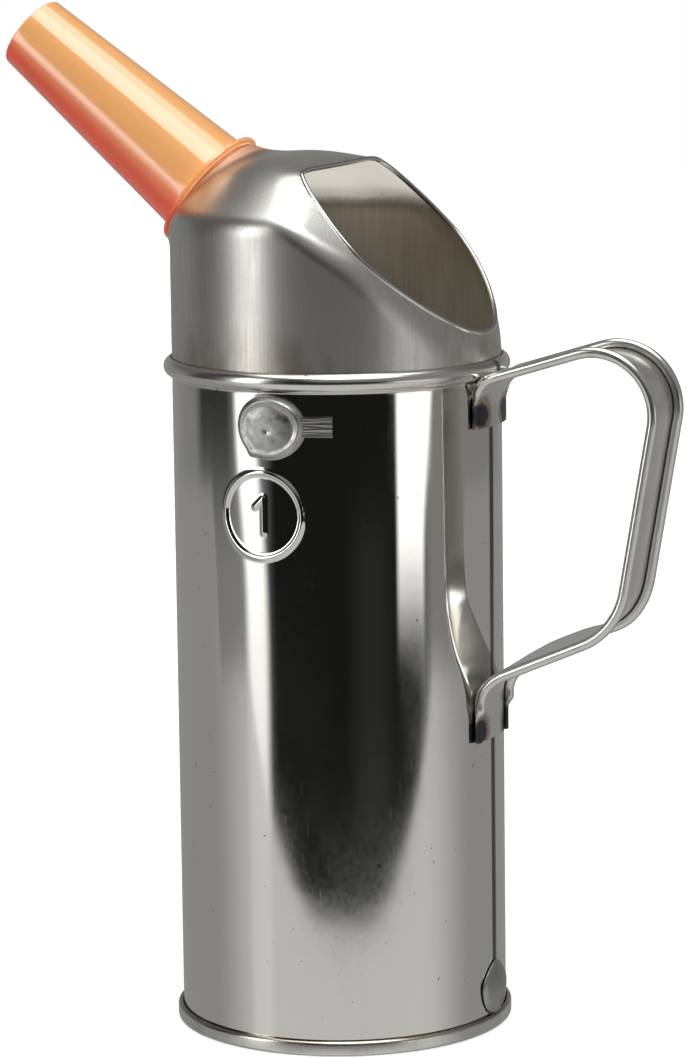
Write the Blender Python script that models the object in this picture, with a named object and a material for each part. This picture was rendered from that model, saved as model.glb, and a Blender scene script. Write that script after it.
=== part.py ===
"""Oil measuring jug of tinned sheet metal.

A rolled body with a folded base, a drawn hood with a slanted filling mouth, a strap handle with rolled
edges, a level bar under a solder seal and a pouring nozzle that pulls out of the hood's neck.

Metres, +Z up. The jug stands on z = 0. Its handle points to +X, its nozzle to -X and its measuring mark
to -Y. The origin is midway between the nozzle's tip and the handle's grip.
"""

from math import acos, atan2, ceil, cos, hypot, pi, radians, sin, sqrt, tan

import bmesh
import bpy
from mathutils import Matrix, Vector

# Clearance between touching pieces, reach of cutters past a wall, and how finely round shapes are made
GAP = 0.0003
OVERRUN = 0.002
MERGE_DISTANCE = 0.000001
SEARCH_STEPS = 40
ROUND_SIDES = 56
SHARP_DEG = 35.0

# Body: a rolled sheet with a folded seam at +X, its top edge curled outwards into a bead
BODY_RADIUS = 0.0442
BODY_SHEET = 0.0004
BEAD_HEIGHT = 0.1792
BEAD_RADIUS = 0.0025
BEAD_STEPS = 7
SEAM_WIDTH = 0.0027
SEAM_DEPTH = 0.00015
SEAM_LOW = 0.0055
SEAM_HIGH = 0.176
FOLD_WIDTH = 0.0036
FOLD_DEPTH = 0.0008
FOLD_LOW = 0.006
FOLD_HIGH = 0.170

# Base: a pressed cap whose rim is folded up round the foot of the body
CAP_SHEET = 0.0005
BASE_SOLDER_THICKNESS = 0.0004
CAP_HEIGHT = 0.004
CAP_RECESS = 0.003
CAP_EDGE_STEPS = 2

# Solder inside the bead
RIM_SOLDER_RADIUS = 0.0005
RIM_SOLDER_SIDES = 6

# Hood: straight wall, cone, nearly flat crown and slanted neck, with a flange held inside the bead.
# Its rises are measured from the bead.
HOOD_SHEET = 0.0005
FLANGE_WIDTH = 0.00065
SHOULDER_RISE = 0.0408
DOME_SLOPE_DEG = 37.5
CROWN_RISE = 0.0562
CROWN_ROUNDING = 0.007
NECK_RADIUS = 0.0162
NECK_ROUNDING = 0.007
NECK_EASE = 0.004
NECK_STUB = 0.0009
LAND_ROUNDING = 0.004
HOOD_RINGS = 12
CORE_DEPTH = 0.030
NECK_CROWDING = 1.5
WALL_REACH = 0.006
WALL_RINGS = 3

# Mouth: a slanted cut through the hood, edged by a rolled lip, with a sloping band round it
MOUTH_LOW_RISE = 0.0084
MOUTH_SLOPE_DEG = 46.1
MOUTH_RADIUS = 0.032
MOUTH_TOP = 0.0306
MOUTH_CORNER = 0.0012
BEVEL_DEG = 27.0
BEVEL_ROUNDING = 0.002
LIP_RADIUS = 0.00068
LIP_STEPS = 60
LIP_SIDES = 6

# Nozzle: a tapered plastic tube with a stop collar and a spigot that pushes into the neck
NOZZLE_RISE_DEG = 38.4
SEAT_INSET = 0.0081
SEAT_RISE = 0.0454
NOZZLE_LENGTH = 0.068
NOZZLE_ROOT_RADIUS = 0.0149
NOZZLE_TIP_RADIUS = 0.0105
NOZZLE_WALL = 0.0013
NOZZLE_EDGE = 0.0004
COLLAR_RADIUS = 0.0176
COLLAR_THICKNESS = 0.0013
SPIGOT_LENGTH = 0.014
SPIGOT_TAPER = 0.0008
NOZZLE_SIDES = 40

# Handle: one strap with rolled edges, both ends pressed flat and spot welded to the body
STRAP_SHEET = 0.0005
CURL_RADIUS = 0.00145
CURL_SPACING = 0.0203
CURL_END_DEG = 205.0
CURL_STEPS = 8
WEB_STEPS = 5
PRESSED_SHARE = 0.35
PRESSED_LENGTH = 0.006
PRESSED_EASE = 0.0022
LOWER_END_HEIGHT = 0.0802
LOWER_ARM_HEIGHT = 0.0975
LOWER_ARM_LENGTH = 0.0407
LOWER_ARM_RISE_DEG = 23.5
LOWER_FOOT_BEND = 0.01045
LOWER_FOOT_LENGTH = 0.0104
LOWER_FOOT_FADE = 0.012
LOWER_GRIP_BEND = 0.0185
UPPER_END_HEIGHT = 0.1643
UPPER_ARM_DROP = 0.0006
UPPER_ARM_LENGTH = 0.0502
UPPER_ARM_RISE_DEG = 17.0
UPPER_FOOT_BEND = 0.00505
UPPER_FOOT_LENGTH = 0.0081
UPPER_FOOT_FADE = 0.0065
UPPER_GRIP_BEND = 0.0148
BEND_STEP_DEG = 15.0

# Measuring mark on the wall: how far its ring, and its level bar above it, lie round from -Y towards the nozzle
MARK_TURN_DEG = 3.65
LEVEL_TURN_DEG = -0.2
LEVEL_HEIGHT = 0.1701
BAR_HEIGHT = 0.0052
BAR_DROP = 0.0023
BAR_THICKNESS = 0.0008
BAR_TAIL = 0.0025
BAR_REACH = 0.0166
BAR_STEPS = 8
PIN_RADIUS = 0.0012
PIN_DEPTH = 0.008
PIN_SIDES = 12
SEAL_DROP = 0.0024
SEAL_HALF_WIDTH = 0.0089
SEAL_HALF_HEIGHT = 0.00765
SEAL_RISE = 0.00215
RIDGE_HALF_WIDTH = 0.00075
RIDGE_RISE = 0.00055
RIDGE_ROOT = 0.0002
RING_HEIGHT = 0.1442
RING_RADIUS = 0.01125
RING_STEPS = 48
FIGURE_HALF_HEIGHT = 0.0046
FIGURE_OFFSET = 0.0006
FLAG_WIDTH = 0.0024

# Solder drop at the foot of the body's seam
DROP_HEIGHT = 0.0112
DROP_HALF_WIDTH = 0.0073
DROP_HALF_HEIGHT = 0.0069
DROP_RISE = 0.002
SOLDER_SIDES = 24

# Distance from the mouth's centre to its curved rim, at equal angles from its lowest point to its highest
MOUTH_SHARES = (1.0, 0.99, 0.955, 0.947, 0.98, 1.04, 1.097, 1.125, 1.17, 1.25, 1.32, 1.36, 1.375)

# Shapes given as shares of their own half width and rise
RIDGE_SHARES = ((-0.5, 0.8), (0.0, 1.0), (0.5, 0.8))
SEAL_SHARES = ((0.15, 0.8), (0.35, 0.84), (0.55, 1.0), (0.78, 0.9), (0.94, 0.62), (1.0, 0.35))
DROP_SHARES = ((0.15, 1.0), (0.4, 0.94), (0.65, 0.82), (0.86, 0.6), (1.0, 0.3))
SOLDER_FLOOR_SHARES = (1.0, 0.72, 0.43, 0.15)

# Directions and places that follow from the sizes
NOZZLE_RISE = radians(NOZZLE_RISE_DEG)
MOUTH_SLOPE = radians(MOUTH_SLOPE_DEG)
DOME_SLOPE = radians(DOME_SLOPE_DEG)
BEVEL = radians(BEVEL_DEG)
NOZZLE_AXIS = Vector((-cos(NOZZLE_RISE), 0, sin(NOZZLE_RISE)))
NECK_UNDERSIDE = Vector((-sin(NOZZLE_RISE), 0, -cos(NOZZLE_RISE)))
SHOULDER_HEIGHT = BEAD_HEIGHT + SHOULDER_RISE
CROWN_HEIGHT = BEAD_HEIGHT + CROWN_RISE
SEAT_REACH = BODY_RADIUS - SEAT_INSET
SEAT = Vector((-SEAT_REACH, 0, BEAD_HEIGHT + SEAT_RISE))
HOOD_CORE = SEAT - NOZZLE_AXIS * CORE_DEPTH
MOUTH_NORMAL = Vector((sin(MOUTH_SLOPE), 0, cos(MOUTH_SLOPE)))
MOUTH_DOWNHILL = Vector((cos(MOUTH_SLOPE), 0, -sin(MOUTH_SLOPE)))
MOUTH_CENTRE = Vector((BODY_RADIUS, 0, BEAD_HEIGHT + MOUTH_LOW_RISE)) - MOUTH_DOWNHILL * MOUTH_RADIUS
BEAD_CENTRE_RADIUS = BODY_RADIUS - BODY_SHEET / 2
BODY_FOOT = CAP_SHEET + GAP
CAP_RADIUS = BODY_RADIUS + GAP + BASE_SOLDER_THICKNESS + GAP + CAP_SHEET
MARK_ANGLE = -pi / 2 - radians(MARK_TURN_DEG)
LEVEL_ANGLE = -pi / 2 - radians(LEVEL_TURN_DEG)
PIN_HEIGHT = LEVEL_HEIGHT - PIN_RADIUS
BAR_CENTRE_HEIGHT = LEVEL_HEIGHT - BAR_DROP
SEAL_HEIGHT = LEVEL_HEIGHT - SEAL_DROP
PRESSED_RISE = STRAP_SHEET + (2 * CURL_RADIUS - STRAP_SHEET) * PRESSED_SHARE


def clear_scene():
    for item in list(bpy.data.objects):
        bpy.data.objects.remove(item, do_unlink=True)


def add_empty(name, location, parent=None):
    empty = bpy.data.objects.new(name, None)
    bpy.context.collection.objects.link(empty)
    empty.location = location
    empty.parent = parent
    return empty


def add_object(name, shape, parent):
    """Turn a finished bmesh into a named object, with faces pointing out."""
    bmesh.ops.recalc_face_normals(shape, faces=shape.faces)
    mesh = bpy.data.meshes.new(name)
    shape.to_mesh(mesh)
    shape.free()
    item = bpy.data.objects.new(name, mesh)
    bpy.context.collection.objects.link(item)
    item.parent = parent
    return item


def add_piece(name, shape, parent, colour, metallic, roughness):
    """A piece of the jug, shaded smooth, with a material of its own."""
    piece = add_object(name, shape, parent)
    piece.data.shade_smooth()
    piece.data.set_sharp_from_angle(angle=radians(SHARP_DEG))
    material = bpy.data.materials.new(name)
    material.use_nodes = True
    shader = material.node_tree.nodes["Principled BSDF"]
    shader.inputs["Base Color"].default_value = (*colour, 1.0)
    shader.inputs["Metallic"].default_value = metallic
    shader.inputs["Roughness"].default_value = roughness
    piece.data.materials.append(material)
    return piece


def add_guide(name, shape, parent):
    """A shape that only cuts, or is joined to, another piece."""
    guide = add_object(name, shape, parent)
    guide.hide_render = True
    guide.display_type = "WIRE"
    return guide


def add_boolean(piece, operation, guide):
    modifier = piece.modifiers.new(guide.name, "BOOLEAN")
    modifier.operation = operation
    modifier.solver = "EXACT"
    modifier.object = guide


def arc(centre, radius, start, end, steps):
    """Points of a flat arc, both ends included."""
    points = []
    for step in range(steps + 1):
        angle = start + (end - start) * step / steps
        points.append(centre + Vector((cos(angle), sin(angle))) * radius)
    return points


def sheet_outline(path, thickness):
    """Outline of a sheet whose middle follows an open flat path, with mitred corners."""
    right = []
    left = []
    for index, point in enumerate(path):
        before = point - path[index - 1] if index > 0 else path[1] - path[0]
        after = path[index + 1] - point if index < len(path) - 1 else before
        middle = (before.normalized() + after.normalized()).normalized()
        side = Vector((middle.y, -middle.x)) * (thickness / 2 / middle.dot(after.normalized()))
        right.append(point + side)
        left.append(point - side)
    return right + left[::-1]


def skin_rings(rings, closed=False):
    """Join rings of points, each with as many points, by quads, and cap the ends unless closed."""
    shape = bmesh.new()
    loops = [[shape.verts.new(point) for point in ring] for ring in rings]
    followers = loops[1:] + loops[:1] if closed else loops[1:]
    for loop, follower in zip(loops, followers):
        for index, corner in enumerate(loop):
            after = (index + 1) % len(loop)
            shape.faces.new((corner, loop[after], follower[after], follower[index]))
    if not closed:
        shape.faces.new(loops[0])
        shape.faces.new(loops[-1])
    return shape


def lathe(outline, sides, turn=0.0):
    """Turn a (radius, height) outline round Z. One that starts on the axis ends on it too."""
    shape = bmesh.new()
    points = [shape.verts.new((point.x, 0, point.y)) for point in outline]
    pairs = list(zip(points, points[1:]))
    if outline[0].x > MERGE_DISTANCE:
        pairs.append((points[-1], points[0]))
    edges = [shape.edges.new(pair) for pair in pairs]
    bmesh.ops.spin(
        shape, geom=points + edges, cent=(0, 0, 0), axis=(0, 0, 1), angle=2 * pi, steps=sides, use_merge=True
    )
    bmesh.ops.remove_doubles(shape, verts=shape.verts, dist=MERGE_DISTANCE)
    bmesh.ops.rotate(shape, verts=shape.verts, cent=(0, 0, 0), matrix=Matrix.Rotation(turn, 3, "Z"))
    return shape


def lathe_round(outline):
    """Turn an outline with a flat facet on each of +X, -X, +Y and -Y."""
    return lathe(outline, ROUND_SIDES, pi / ROUND_SIDES)


def block(low, high):
    """A plain block between two corners."""
    corners = ((low.x, low.y), (high.x, low.y), (high.x, high.y), (low.x, high.y))
    return skin_rings([[Vector((x, y, z)) for x, y in corners] for z in (low.z, high.z)])


def wall_point(angle, along, height, rise):
    """A point over the body's wall, by the distance round from an angle, the height and the rise."""
    turn = angle + along / BODY_RADIUS
    radius = BODY_RADIUS + rise
    return Vector((radius * cos(turn), radius * sin(turn), height))


def body_outline():
    """The body's sheet: up the wall and round the bead, to a clearance off the hood."""
    lip_angle = acos((BODY_RADIUS + GAP - BEAD_CENTRE_RADIUS) / (BEAD_RADIUS - BODY_SHEET))
    centre = Vector((BEAD_CENTRE_RADIUS, BEAD_HEIGHT))
    path = [Vector((BEAD_CENTRE_RADIUS, BODY_FOOT))]
    path += arc(centre, BEAD_RADIUS - BODY_SHEET / 2, -pi / 2, lip_angle, BEAD_STEPS)
    return sheet_outline(path, BODY_SHEET)


def ridge(path, closed):
    """A rounded ridge pressed out of the wall along a flat (along, height) path."""
    rings = []
    for index, point in enumerate(path):
        before = path[index - 1] if index > 0 or closed else point
        after = path[(index + 1) % len(path)] if index < len(path) - 1 or closed else point
        ahead = (after - before).normalized()
        side = Vector((ahead.y, -ahead.x)) * RIDGE_HALF_WIDTH
        section = [(-side, -RIDGE_ROOT)]
        section += [(side * share, RIDGE_RISE * rise_share) for share, rise_share in RIDGE_SHARES]
        section += [(side, -RIDGE_ROOT)]
        places = [(point + offset, rise) for offset, rise in section]
        rings.append([wall_point(MARK_ANGLE, place.x, place.y, rise) for place, rise in places])
    return skin_rings(rings, closed)


def add_mark_ring(parent):
    centre = Vector((0, RING_HEIGHT))
    path = arc(centre, RING_RADIUS, 0, 2 * pi, RING_STEPS)[:-1]
    return add_guide("mark_ring", ridge(path, True), parent)


def add_figure_stem(parent):
    foot = Vector((FIGURE_OFFSET, RING_HEIGHT - FIGURE_HALF_HEIGHT))
    head = Vector((FIGURE_OFFSET, RING_HEIGHT + FIGURE_HALF_HEIGHT))
    return add_guide("figure_stem", ridge([foot, head], False), parent)


def add_figure_flag(parent):
    head = Vector((FIGURE_OFFSET, RING_HEIGHT + FIGURE_HALF_HEIGHT - RIDGE_HALF_WIDTH))
    tip = head - Vector((FLAG_WIDTH, FLAG_WIDTH))
    return add_guide("figure_flag", ridge([tip, head], False), parent)


def add_seam_groove(parent):
    facet_radius = BODY_RADIUS * cos(pi / ROUND_SIDES)
    low = Vector((facet_radius - SEAM_DEPTH, -SEAM_WIDTH / 2, SEAM_LOW))
    high = Vector((facet_radius + OVERRUN, SEAM_WIDTH / 2, SEAM_HIGH))
    return add_guide("seam_groove", block(low, high), parent)


def add_seam_fold(parent):
    inner_radius = (BODY_RADIUS - BODY_SHEET) * cos(pi / ROUND_SIDES)
    low = Vector((inner_radius - FOLD_DEPTH, -FOLD_WIDTH / 2, FOLD_LOW))
    high = Vector((inner_radius + (BODY_SHEET - SEAM_DEPTH) / 2, FOLD_WIDTH / 2, FOLD_HIGH))
    return add_guide("seam_fold", block(low, high), parent)


def radial_rod(angle, height, radius, inner_radius, outer_radius):
    """A rod that runs straight out from the jug's axis."""
    outwards = Vector((cos(angle), sin(angle), 0))
    across = Vector((-sin(angle), cos(angle), 0))
    centre = Vector((0, 0, height))
    rings = []
    for reach in (inner_radius, outer_radius):
        end = centre + outwards * reach
        circle = arc(Vector((0, 0)), radius, 0, 2 * pi, PIN_SIDES)[:-1]
        rings.append([end + across * point.x + Vector((0, 0, point.y)) for point in circle])
    return skin_rings(rings)


def add_pin_hole(parent):
    inner = BODY_RADIUS - BODY_SHEET - OVERRUN
    rod = radial_rod(LEVEL_ANGLE, PIN_HEIGHT, PIN_RADIUS + GAP, inner, BODY_RADIUS + OVERRUN)
    return add_guide("pin_hole", rod, parent)


def add_body_shell(jug):
    body = add_piece("body_shell", lathe_round(body_outline()), jug, (0.72, 0.70, 0.66), 1.0, 0.14)
    add_boolean(body, "DIFFERENCE", add_seam_groove(jug))
    add_boolean(body, "UNION", add_seam_fold(jug))
    add_boolean(body, "UNION", add_mark_ring(jug))
    add_boolean(body, "UNION", add_figure_stem(jug))
    add_boolean(body, "UNION", add_figure_flag(jug))
    add_boolean(body, "DIFFERENCE", add_pin_hole(jug))


def add_base_cap(jug):
    """The base's sheet: plate, wall inside the body's foot, foot ring and rim folded up outside."""
    wall = BODY_RADIUS - BODY_SHEET - GAP - CAP_SHEET / 2
    lip = BODY_RADIUS + GAP
    plate = CAP_RECESS + CAP_SHEET / 2
    floor = CAP_SHEET / 2
    top = CAP_HEIGHT - CAP_SHEET / 2
    fold_radius = lip + CAP_SHEET / 2
    edge = CAP_RADIUS - CAP_SHEET / 2 - fold_radius
    path = [Vector((0, plate)), Vector((wall, plate)), Vector((wall, floor))]
    path += arc(Vector((fold_radius, floor + edge)), edge, -pi / 2, 0, CAP_EDGE_STEPS)
    path += arc(Vector((fold_radius, top - edge)), edge, 0, pi / 2, CAP_EDGE_STEPS)
    path.append(Vector((lip, top)))
    shape = lathe_round(sheet_outline(path, CAP_SHEET))
    add_piece("base_cap", shape, jug, (0.62, 0.60, 0.56), 1.0, 0.3)


def add_base_solder(jug):
    """Solder that fills the fold between the body's foot and the base's rim."""
    inner = BODY_RADIUS + GAP
    outer = inner + BASE_SOLDER_THICKNESS
    low = BODY_FOOT + GAP
    high = CAP_HEIGHT - CAP_SHEET - 2 * GAP
    outline = [Vector((inner, low)), Vector((outer, low)), Vector((outer, high)), Vector((inner, high))]
    add_piece("base_solder", lathe_round(outline), jug, (0.36, 0.35, 0.33), 1.0, 0.45)


def add_rim_solder(jug):
    """Solder that fills the bead round the hood's foot."""
    centre = Vector((BODY_RADIUS + GAP + RIM_SOLDER_RADIUS, BEAD_HEIGHT))
    outline = arc(centre, RIM_SOLDER_RADIUS, 0, 2 * pi, RIM_SOLDER_SIDES)[:-1]
    add_piece("rim_solder", lathe_round(outline), jug, (0.36, 0.35, 0.33), 1.0, 0.45)


def ease(distance, start, length):
    """Rises from 0 to 1 over a length that begins at a start."""
    return min(max((distance - start) / length, 0), 1)


def rounded_max(first, second, size):
    """The larger of two values, with a smooth passage where they differ by less than a size."""
    overlap = max(size - abs(first - second), 0)
    return max(first, second) + (overlap ** 2 / (4 * size) if size > 0 else 0)


def rounded_min(first, second, size):
    return -rounded_max(-first, -second, size)


def mouth_radius(angle):
    """How far the mouth's rim, straight at its top, lies from its centre, by the angle from downhill."""
    last = len(MOUTH_SHARES) - 1
    place = abs(angle) / pi * last
    index = min(int(place), last - 1)
    share = place - index
    before = MOUTH_SHARES[abs(index - 1)]
    start = MOUTH_SHARES[index]
    end = MOUTH_SHARES[index + 1]
    after = MOUTH_SHARES[last - abs(last - index - 2)]
    curve = (end - before) * share
    curve += (2 * before - 5 * start + 4 * end - after) * share ** 2
    curve += (3 * start - before - 3 * end + after) * share ** 3
    curved = MOUTH_RADIUS * (start + curve / 2)
    uphill = -cos(angle) * curved
    return rounded_min(curved, curved * MOUTH_TOP / uphill, MOUTH_CORNER) if uphill > 0 else curved


def mouth_level(point):
    """Distance over the slope that runs from the mouth's rim down to the wall."""
    offset = point - MOUTH_CENTRE
    downhill = offset.dot(MOUTH_DOWNHILL)
    beyond = hypot(downhill, offset.y) - mouth_radius(atan2(offset.y, downhill))
    return offset.dot(MOUTH_NORMAL) * cos(BEVEL) + beyond * sin(BEVEL)


def roof_level(point):
    """Distance over the hood's roof: cone, crown, land under the collar and slope round the mouth."""
    wall = hypot(point.x, point.y) - BODY_RADIUS
    cone = wall * sin(DOME_SLOPE) + (point.z - SHOULDER_HEIGHT) * cos(DOME_SLOPE)
    roof = rounded_max(cone, point.z - CROWN_HEIGHT, CROWN_ROUNDING)
    land = (point - SEAT).dot(NOZZLE_AXIS) + GAP + NECK_STUB
    roof = rounded_max(roof, land, LAND_ROUNDING)
    return rounded_max(roof, mouth_level(point), BEVEL_ROUNDING)


def neck_level(point):
    """Distance outside the neck, which reaches inwards as far as the body's axis."""
    offset = point - SEAT
    along = offset.dot(NOZZLE_AXIS)
    return max((offset - NOZZLE_AXIS * along).length - NECK_RADIUS, -along - BODY_RADIUS)


def hood_level(point):
    """Distance outside the hood's outer surface, negative inside it."""
    dome = max(hypot(point.x, point.y) - BODY_RADIUS, roof_level(point))
    inwards = -(point - SEAT).dot(NOZZLE_AXIS) - GAP
    return rounded_min(dome, neck_level(point), NECK_ROUNDING * ease(inwards, 0, NECK_EASE))


def hood_point(towards, depth):
    """Where a line from the hood's core towards a point meets the surface a depth under the hood's skin."""
    inside = 0
    outside = 2 * BODY_RADIUS
    ahead = (towards - HOOD_CORE).normalized()
    for _ in range(SEARCH_STEPS):
        middle = (inside + outside) / 2
        if hood_level(HOOD_CORE + ahead * middle) < -depth:
            inside = middle
        else:
            outside = middle
    return HOOD_CORE + ahead * inside


def hood_angles():
    """Pairs of angles round the neck and round the wall, both from -X, closer together on the wall there."""
    halves = [pi * (side + 0.5) / ROUND_SIDES for side in range(ROUND_SIDES)]
    neck = [2 * atan2(sin(half) * NECK_CROWDING, cos(half)) for half in halves]
    wall = [2 * atan2(sin(half), cos(half) * NECK_CROWDING) for half in halves]
    return list(zip(neck, wall))


def wall_place(angle, depth, height):
    radius = BODY_RADIUS - depth
    return Vector((-cos(angle) * radius, sin(angle) * radius, height))


def flat_ring(rise, height):
    return [wall_place(wall_angle, -rise, height) for _, wall_angle in hood_angles()]


def crease_height(angle, depth):
    """How high the hood's wall reaches, up to its roof, its land or its neck."""
    low = BEAD_HEIGHT
    high = CROWN_HEIGHT
    for _ in range(SEARCH_STEPS):
        middle = (low + high) / 2
        place = wall_place(angle, depth, middle)
        if roof_level(place) < -depth < neck_level(place):
            low = middle
        else:
            high = middle
    return low


def roof_ring(share, depth):
    """A ring of the hood's skin, from the neck's end to the crease, a depth under its surface."""
    neck_end = SEAT - NOZZLE_AXIS * GAP
    ring = []
    for neck_angle, wall_angle in hood_angles():
        outwards = NECK_UNDERSIDE * cos(neck_angle) + Vector((0, sin(neck_angle), 0))
        neck = neck_end + outwards * (NECK_RADIUS - depth)
        crease = wall_place(wall_angle, depth, crease_height(wall_angle, depth))
        ring.append(hood_point(neck.lerp(crease, share), depth) if share > 0 else neck)
    return ring


def wall_ring(share, depth):
    """A ring of the hood's skin, from the crease down the wall, a depth under its surface."""
    ring = []
    for _, wall_angle in hood_angles():
        crease = crease_height(wall_angle, depth)
        foot = crease_height(wall_angle, 0) - WALL_REACH
        ring.append(hood_point(wall_place(wall_angle, depth, crease + (foot - crease) * share), depth))
    return ring


def hood_skin():
    flange_reach = BODY_RADIUS + FLANGE_WIDTH - BEAD_CENTRE_RADIUS
    curl_drop = sqrt((BEAD_RADIUS - BODY_SHEET) ** 2 - flange_reach ** 2)
    foot = BEAD_HEIGHT - curl_drop + GAP
    roof_shares = [(1 - cos(pi * ring / HOOD_RINGS)) / 2 for ring in range(HOOD_RINGS + 1)]
    wall_shares = [ring / WALL_RINGS for ring in range(1, WALL_RINGS + 1)]
    rings = [roof_ring(share, 0) for share in roof_shares]
    rings += [wall_ring(share, 0) for share in wall_shares]
    rings.append(flat_ring(0, foot + HOOD_SHEET))
    rings.append(flat_ring(FLANGE_WIDTH, foot + HOOD_SHEET))
    rings.append(flat_ring(FLANGE_WIDTH, foot))
    rings.append(flat_ring(-HOOD_SHEET, foot))
    rings += [wall_ring(share, HOOD_SHEET) for share in reversed(wall_shares)]
    rings += [roof_ring(share, HOOD_SHEET) for share in reversed(roof_shares)]
    skin = skin_rings(rings, closed=True)
    bmesh.ops.triangulate(skin, faces=skin.faces)
    return skin


def add_mouth_cut(parent):
    reach = 2 * BODY_RADIUS
    guide = add_guide("mouth_cut", block(Vector((-reach, -reach, 0)), Vector((reach, reach, reach))), parent)
    guide.location = MOUTH_CENTRE
    guide.rotation_euler = (0, MOUTH_SLOPE, 0)
    return guide


def mouth_edge():
    """Points along the middle of the hood's sheet where the mouth cuts it."""
    edge = []
    for step in range(LIP_STEPS):
        angle = 2 * pi * step / LIP_STEPS
        outwards = MOUTH_DOWNHILL * cos(angle) + Vector((0, sin(angle), 0))
        inside = 0
        outside = 2 * BODY_RADIUS
        for _ in range(SEARCH_STEPS):
            middle = (inside + outside) / 2
            if hood_level(MOUTH_CENTRE + outwards * middle) < -HOOD_SHEET / 2:
                inside = middle
            else:
                outside = middle
        edge.append(MOUTH_CENTRE + outwards * inside)
    return edge


def add_mouth_lip(parent):
    edge = mouth_edge()
    rings = []
    for index, point in enumerate(edge):
        ahead = edge[(index + 1) % len(edge)] - edge[index - 1]
        side = ahead.normalized().cross(MOUTH_NORMAL)
        section = arc(Vector((0, 0)), LIP_RADIUS, 0, 2 * pi, LIP_SIDES)[:-1]
        rings.append([point + side * corner.x + MOUTH_NORMAL * corner.y for corner in section])
    return add_guide("mouth_lip", skin_rings(rings, closed=True), parent)


def add_hood(jug):
    hood = add_piece("hood", hood_skin(), jug, (0.60, 0.58, 0.54), 1.0, 0.3)
    add_boolean(hood, "DIFFERENCE", add_mouth_cut(jug))
    add_boolean(hood, "UNION", add_mouth_lip(jug))


def nozzle_outline():
    """The nozzle's wall as (radius, distance from the seat) along its axis."""
    spigot_root = NECK_RADIUS - HOOD_SHEET - GAP
    spigot_tip = spigot_root - SPIGOT_TAPER
    outline = [
        (spigot_tip, -SPIGOT_LENGTH),
        (spigot_root, 0),
        (COLLAR_RADIUS, 0),
        (COLLAR_RADIUS, COLLAR_THICKNESS),
        (NOZZLE_ROOT_RADIUS, COLLAR_THICKNESS),
        (NOZZLE_TIP_RADIUS, NOZZLE_LENGTH - NOZZLE_EDGE),
        (NOZZLE_TIP_RADIUS - NOZZLE_EDGE, NOZZLE_LENGTH),
        (NOZZLE_TIP_RADIUS - NOZZLE_WALL, NOZZLE_LENGTH),
        (NOZZLE_ROOT_RADIUS - NOZZLE_WALL, 0),
        (spigot_tip - NOZZLE_WALL, -SPIGOT_LENGTH),
    ]
    return [Vector(point) for point in outline]


def add_nozzle(jug):
    """The nozzle, on an empty whose Z is the line it is pulled along."""
    seat = add_empty("nozzle_seat", SEAT, jug)
    seat.rotation_euler = (0, NOZZLE_RISE - pi / 2, 0)
    add_piece("nozzle", lathe(nozzle_outline(), NOZZLE_SIDES), seat, (0.88, 0.34, 0.12), 0.0, 0.22)


def direction(degrees_up):
    angle = radians(degrees_up)
    return Vector((cos(angle), sin(angle)))


def rounded_path(corners):
    """Points of a flat path of (corner, bend radius) pairs, each bend made of short straight steps."""
    points = [corners[0][0]]
    for (start, _), (corner, radius), (end, _) in zip(corners, corners[1:], corners[2:]):
        if radius == 0:
            points.append(corner)
            continue
        before = (corner - start).normalized()
        after = (end - corner).normalized()
        turn = atan2(before.x * after.y - before.y * after.x, before.dot(after))
        inwards = Vector((-before.y, before.x)) * (1 if turn > 0 else -1)
        centre = corner - before * (radius * tan(abs(turn) / 2)) + inwards * radius
        first = atan2(-inwards.y, -inwards.x)
        steps = ceil(abs(turn) / radians(BEND_STEP_DEG))
        points += arc(centre, radius, first, first + turn, steps)
    points.append(corners[-1][0])
    return points


def strap_line():
    """The hand side of the strap's web, as (x, z) points from its lower end to its upper end."""
    lower_web = BODY_RADIUS + GAP
    upper_web = BODY_RADIUS + GAP + 2 * CURL_RADIUS
    pressed_web = BODY_RADIUS + GAP + PRESSED_RISE
    pressed_top = LOWER_END_HEIGHT + PRESSED_LENGTH
    lower_foot = Vector((lower_web, LOWER_ARM_HEIGHT))
    upper_foot = Vector((upper_web, BEAD_HEIGHT - BEAD_RADIUS - UPPER_ARM_DROP))
    corners = [
        (Vector((lower_web, LOWER_END_HEIGHT)), 0),
        (Vector((lower_web, pressed_top)), 0),
        (Vector((lower_web, pressed_top + PRESSED_EASE)), 0),
        (lower_foot, LOWER_FOOT_BEND),
        (lower_foot + direction(LOWER_ARM_RISE_DEG) * LOWER_ARM_LENGTH, LOWER_GRIP_BEND),
        (upper_foot + direction(UPPER_ARM_RISE_DEG) * UPPER_ARM_LENGTH, UPPER_GRIP_BEND),
        (upper_foot, UPPER_FOOT_BEND),
        (Vector((pressed_web, UPPER_END_HEIGHT + PRESSED_LENGTH)), 0),
        (Vector((pressed_web, UPPER_END_HEIGHT)), 0),
    ]
    return rounded_path(corners)


def line_normals(line):
    """The strap's outward side at each point of its line, square to it."""
    normals = []
    for index in range(len(line)):
        ahead = line[min(index + 1, len(line) - 1)] - line[max(index - 1, 0)]
        normals.append(Vector((ahead.y, -ahead.x)).normalized())
    return normals


def strap_section():
    """The strap's section as (across, rise) points, its two edges rolled into curls."""
    centre = Vector((CURL_SPACING / 2, CURL_RADIUS))
    curl_end = radians(CURL_END_DEG)
    half = arc(centre, CURL_RADIUS, -pi / 2, curl_end, CURL_STEPS)
    half += reversed(arc(centre, CURL_RADIUS - STRAP_SHEET, -pi / 2, curl_end, CURL_STEPS))
    other_half = [Vector((-point.x, point.y)) for point in reversed(half)]
    shares = [step / WEB_STEPS for step in range(1, WEB_STEPS)]
    web_back = [half[-1].lerp(other_half[0], share) for share in shares]
    web_front = [other_half[-1].lerp(half[0], share) for share in shares]
    return half + web_back + other_half + web_front


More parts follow.
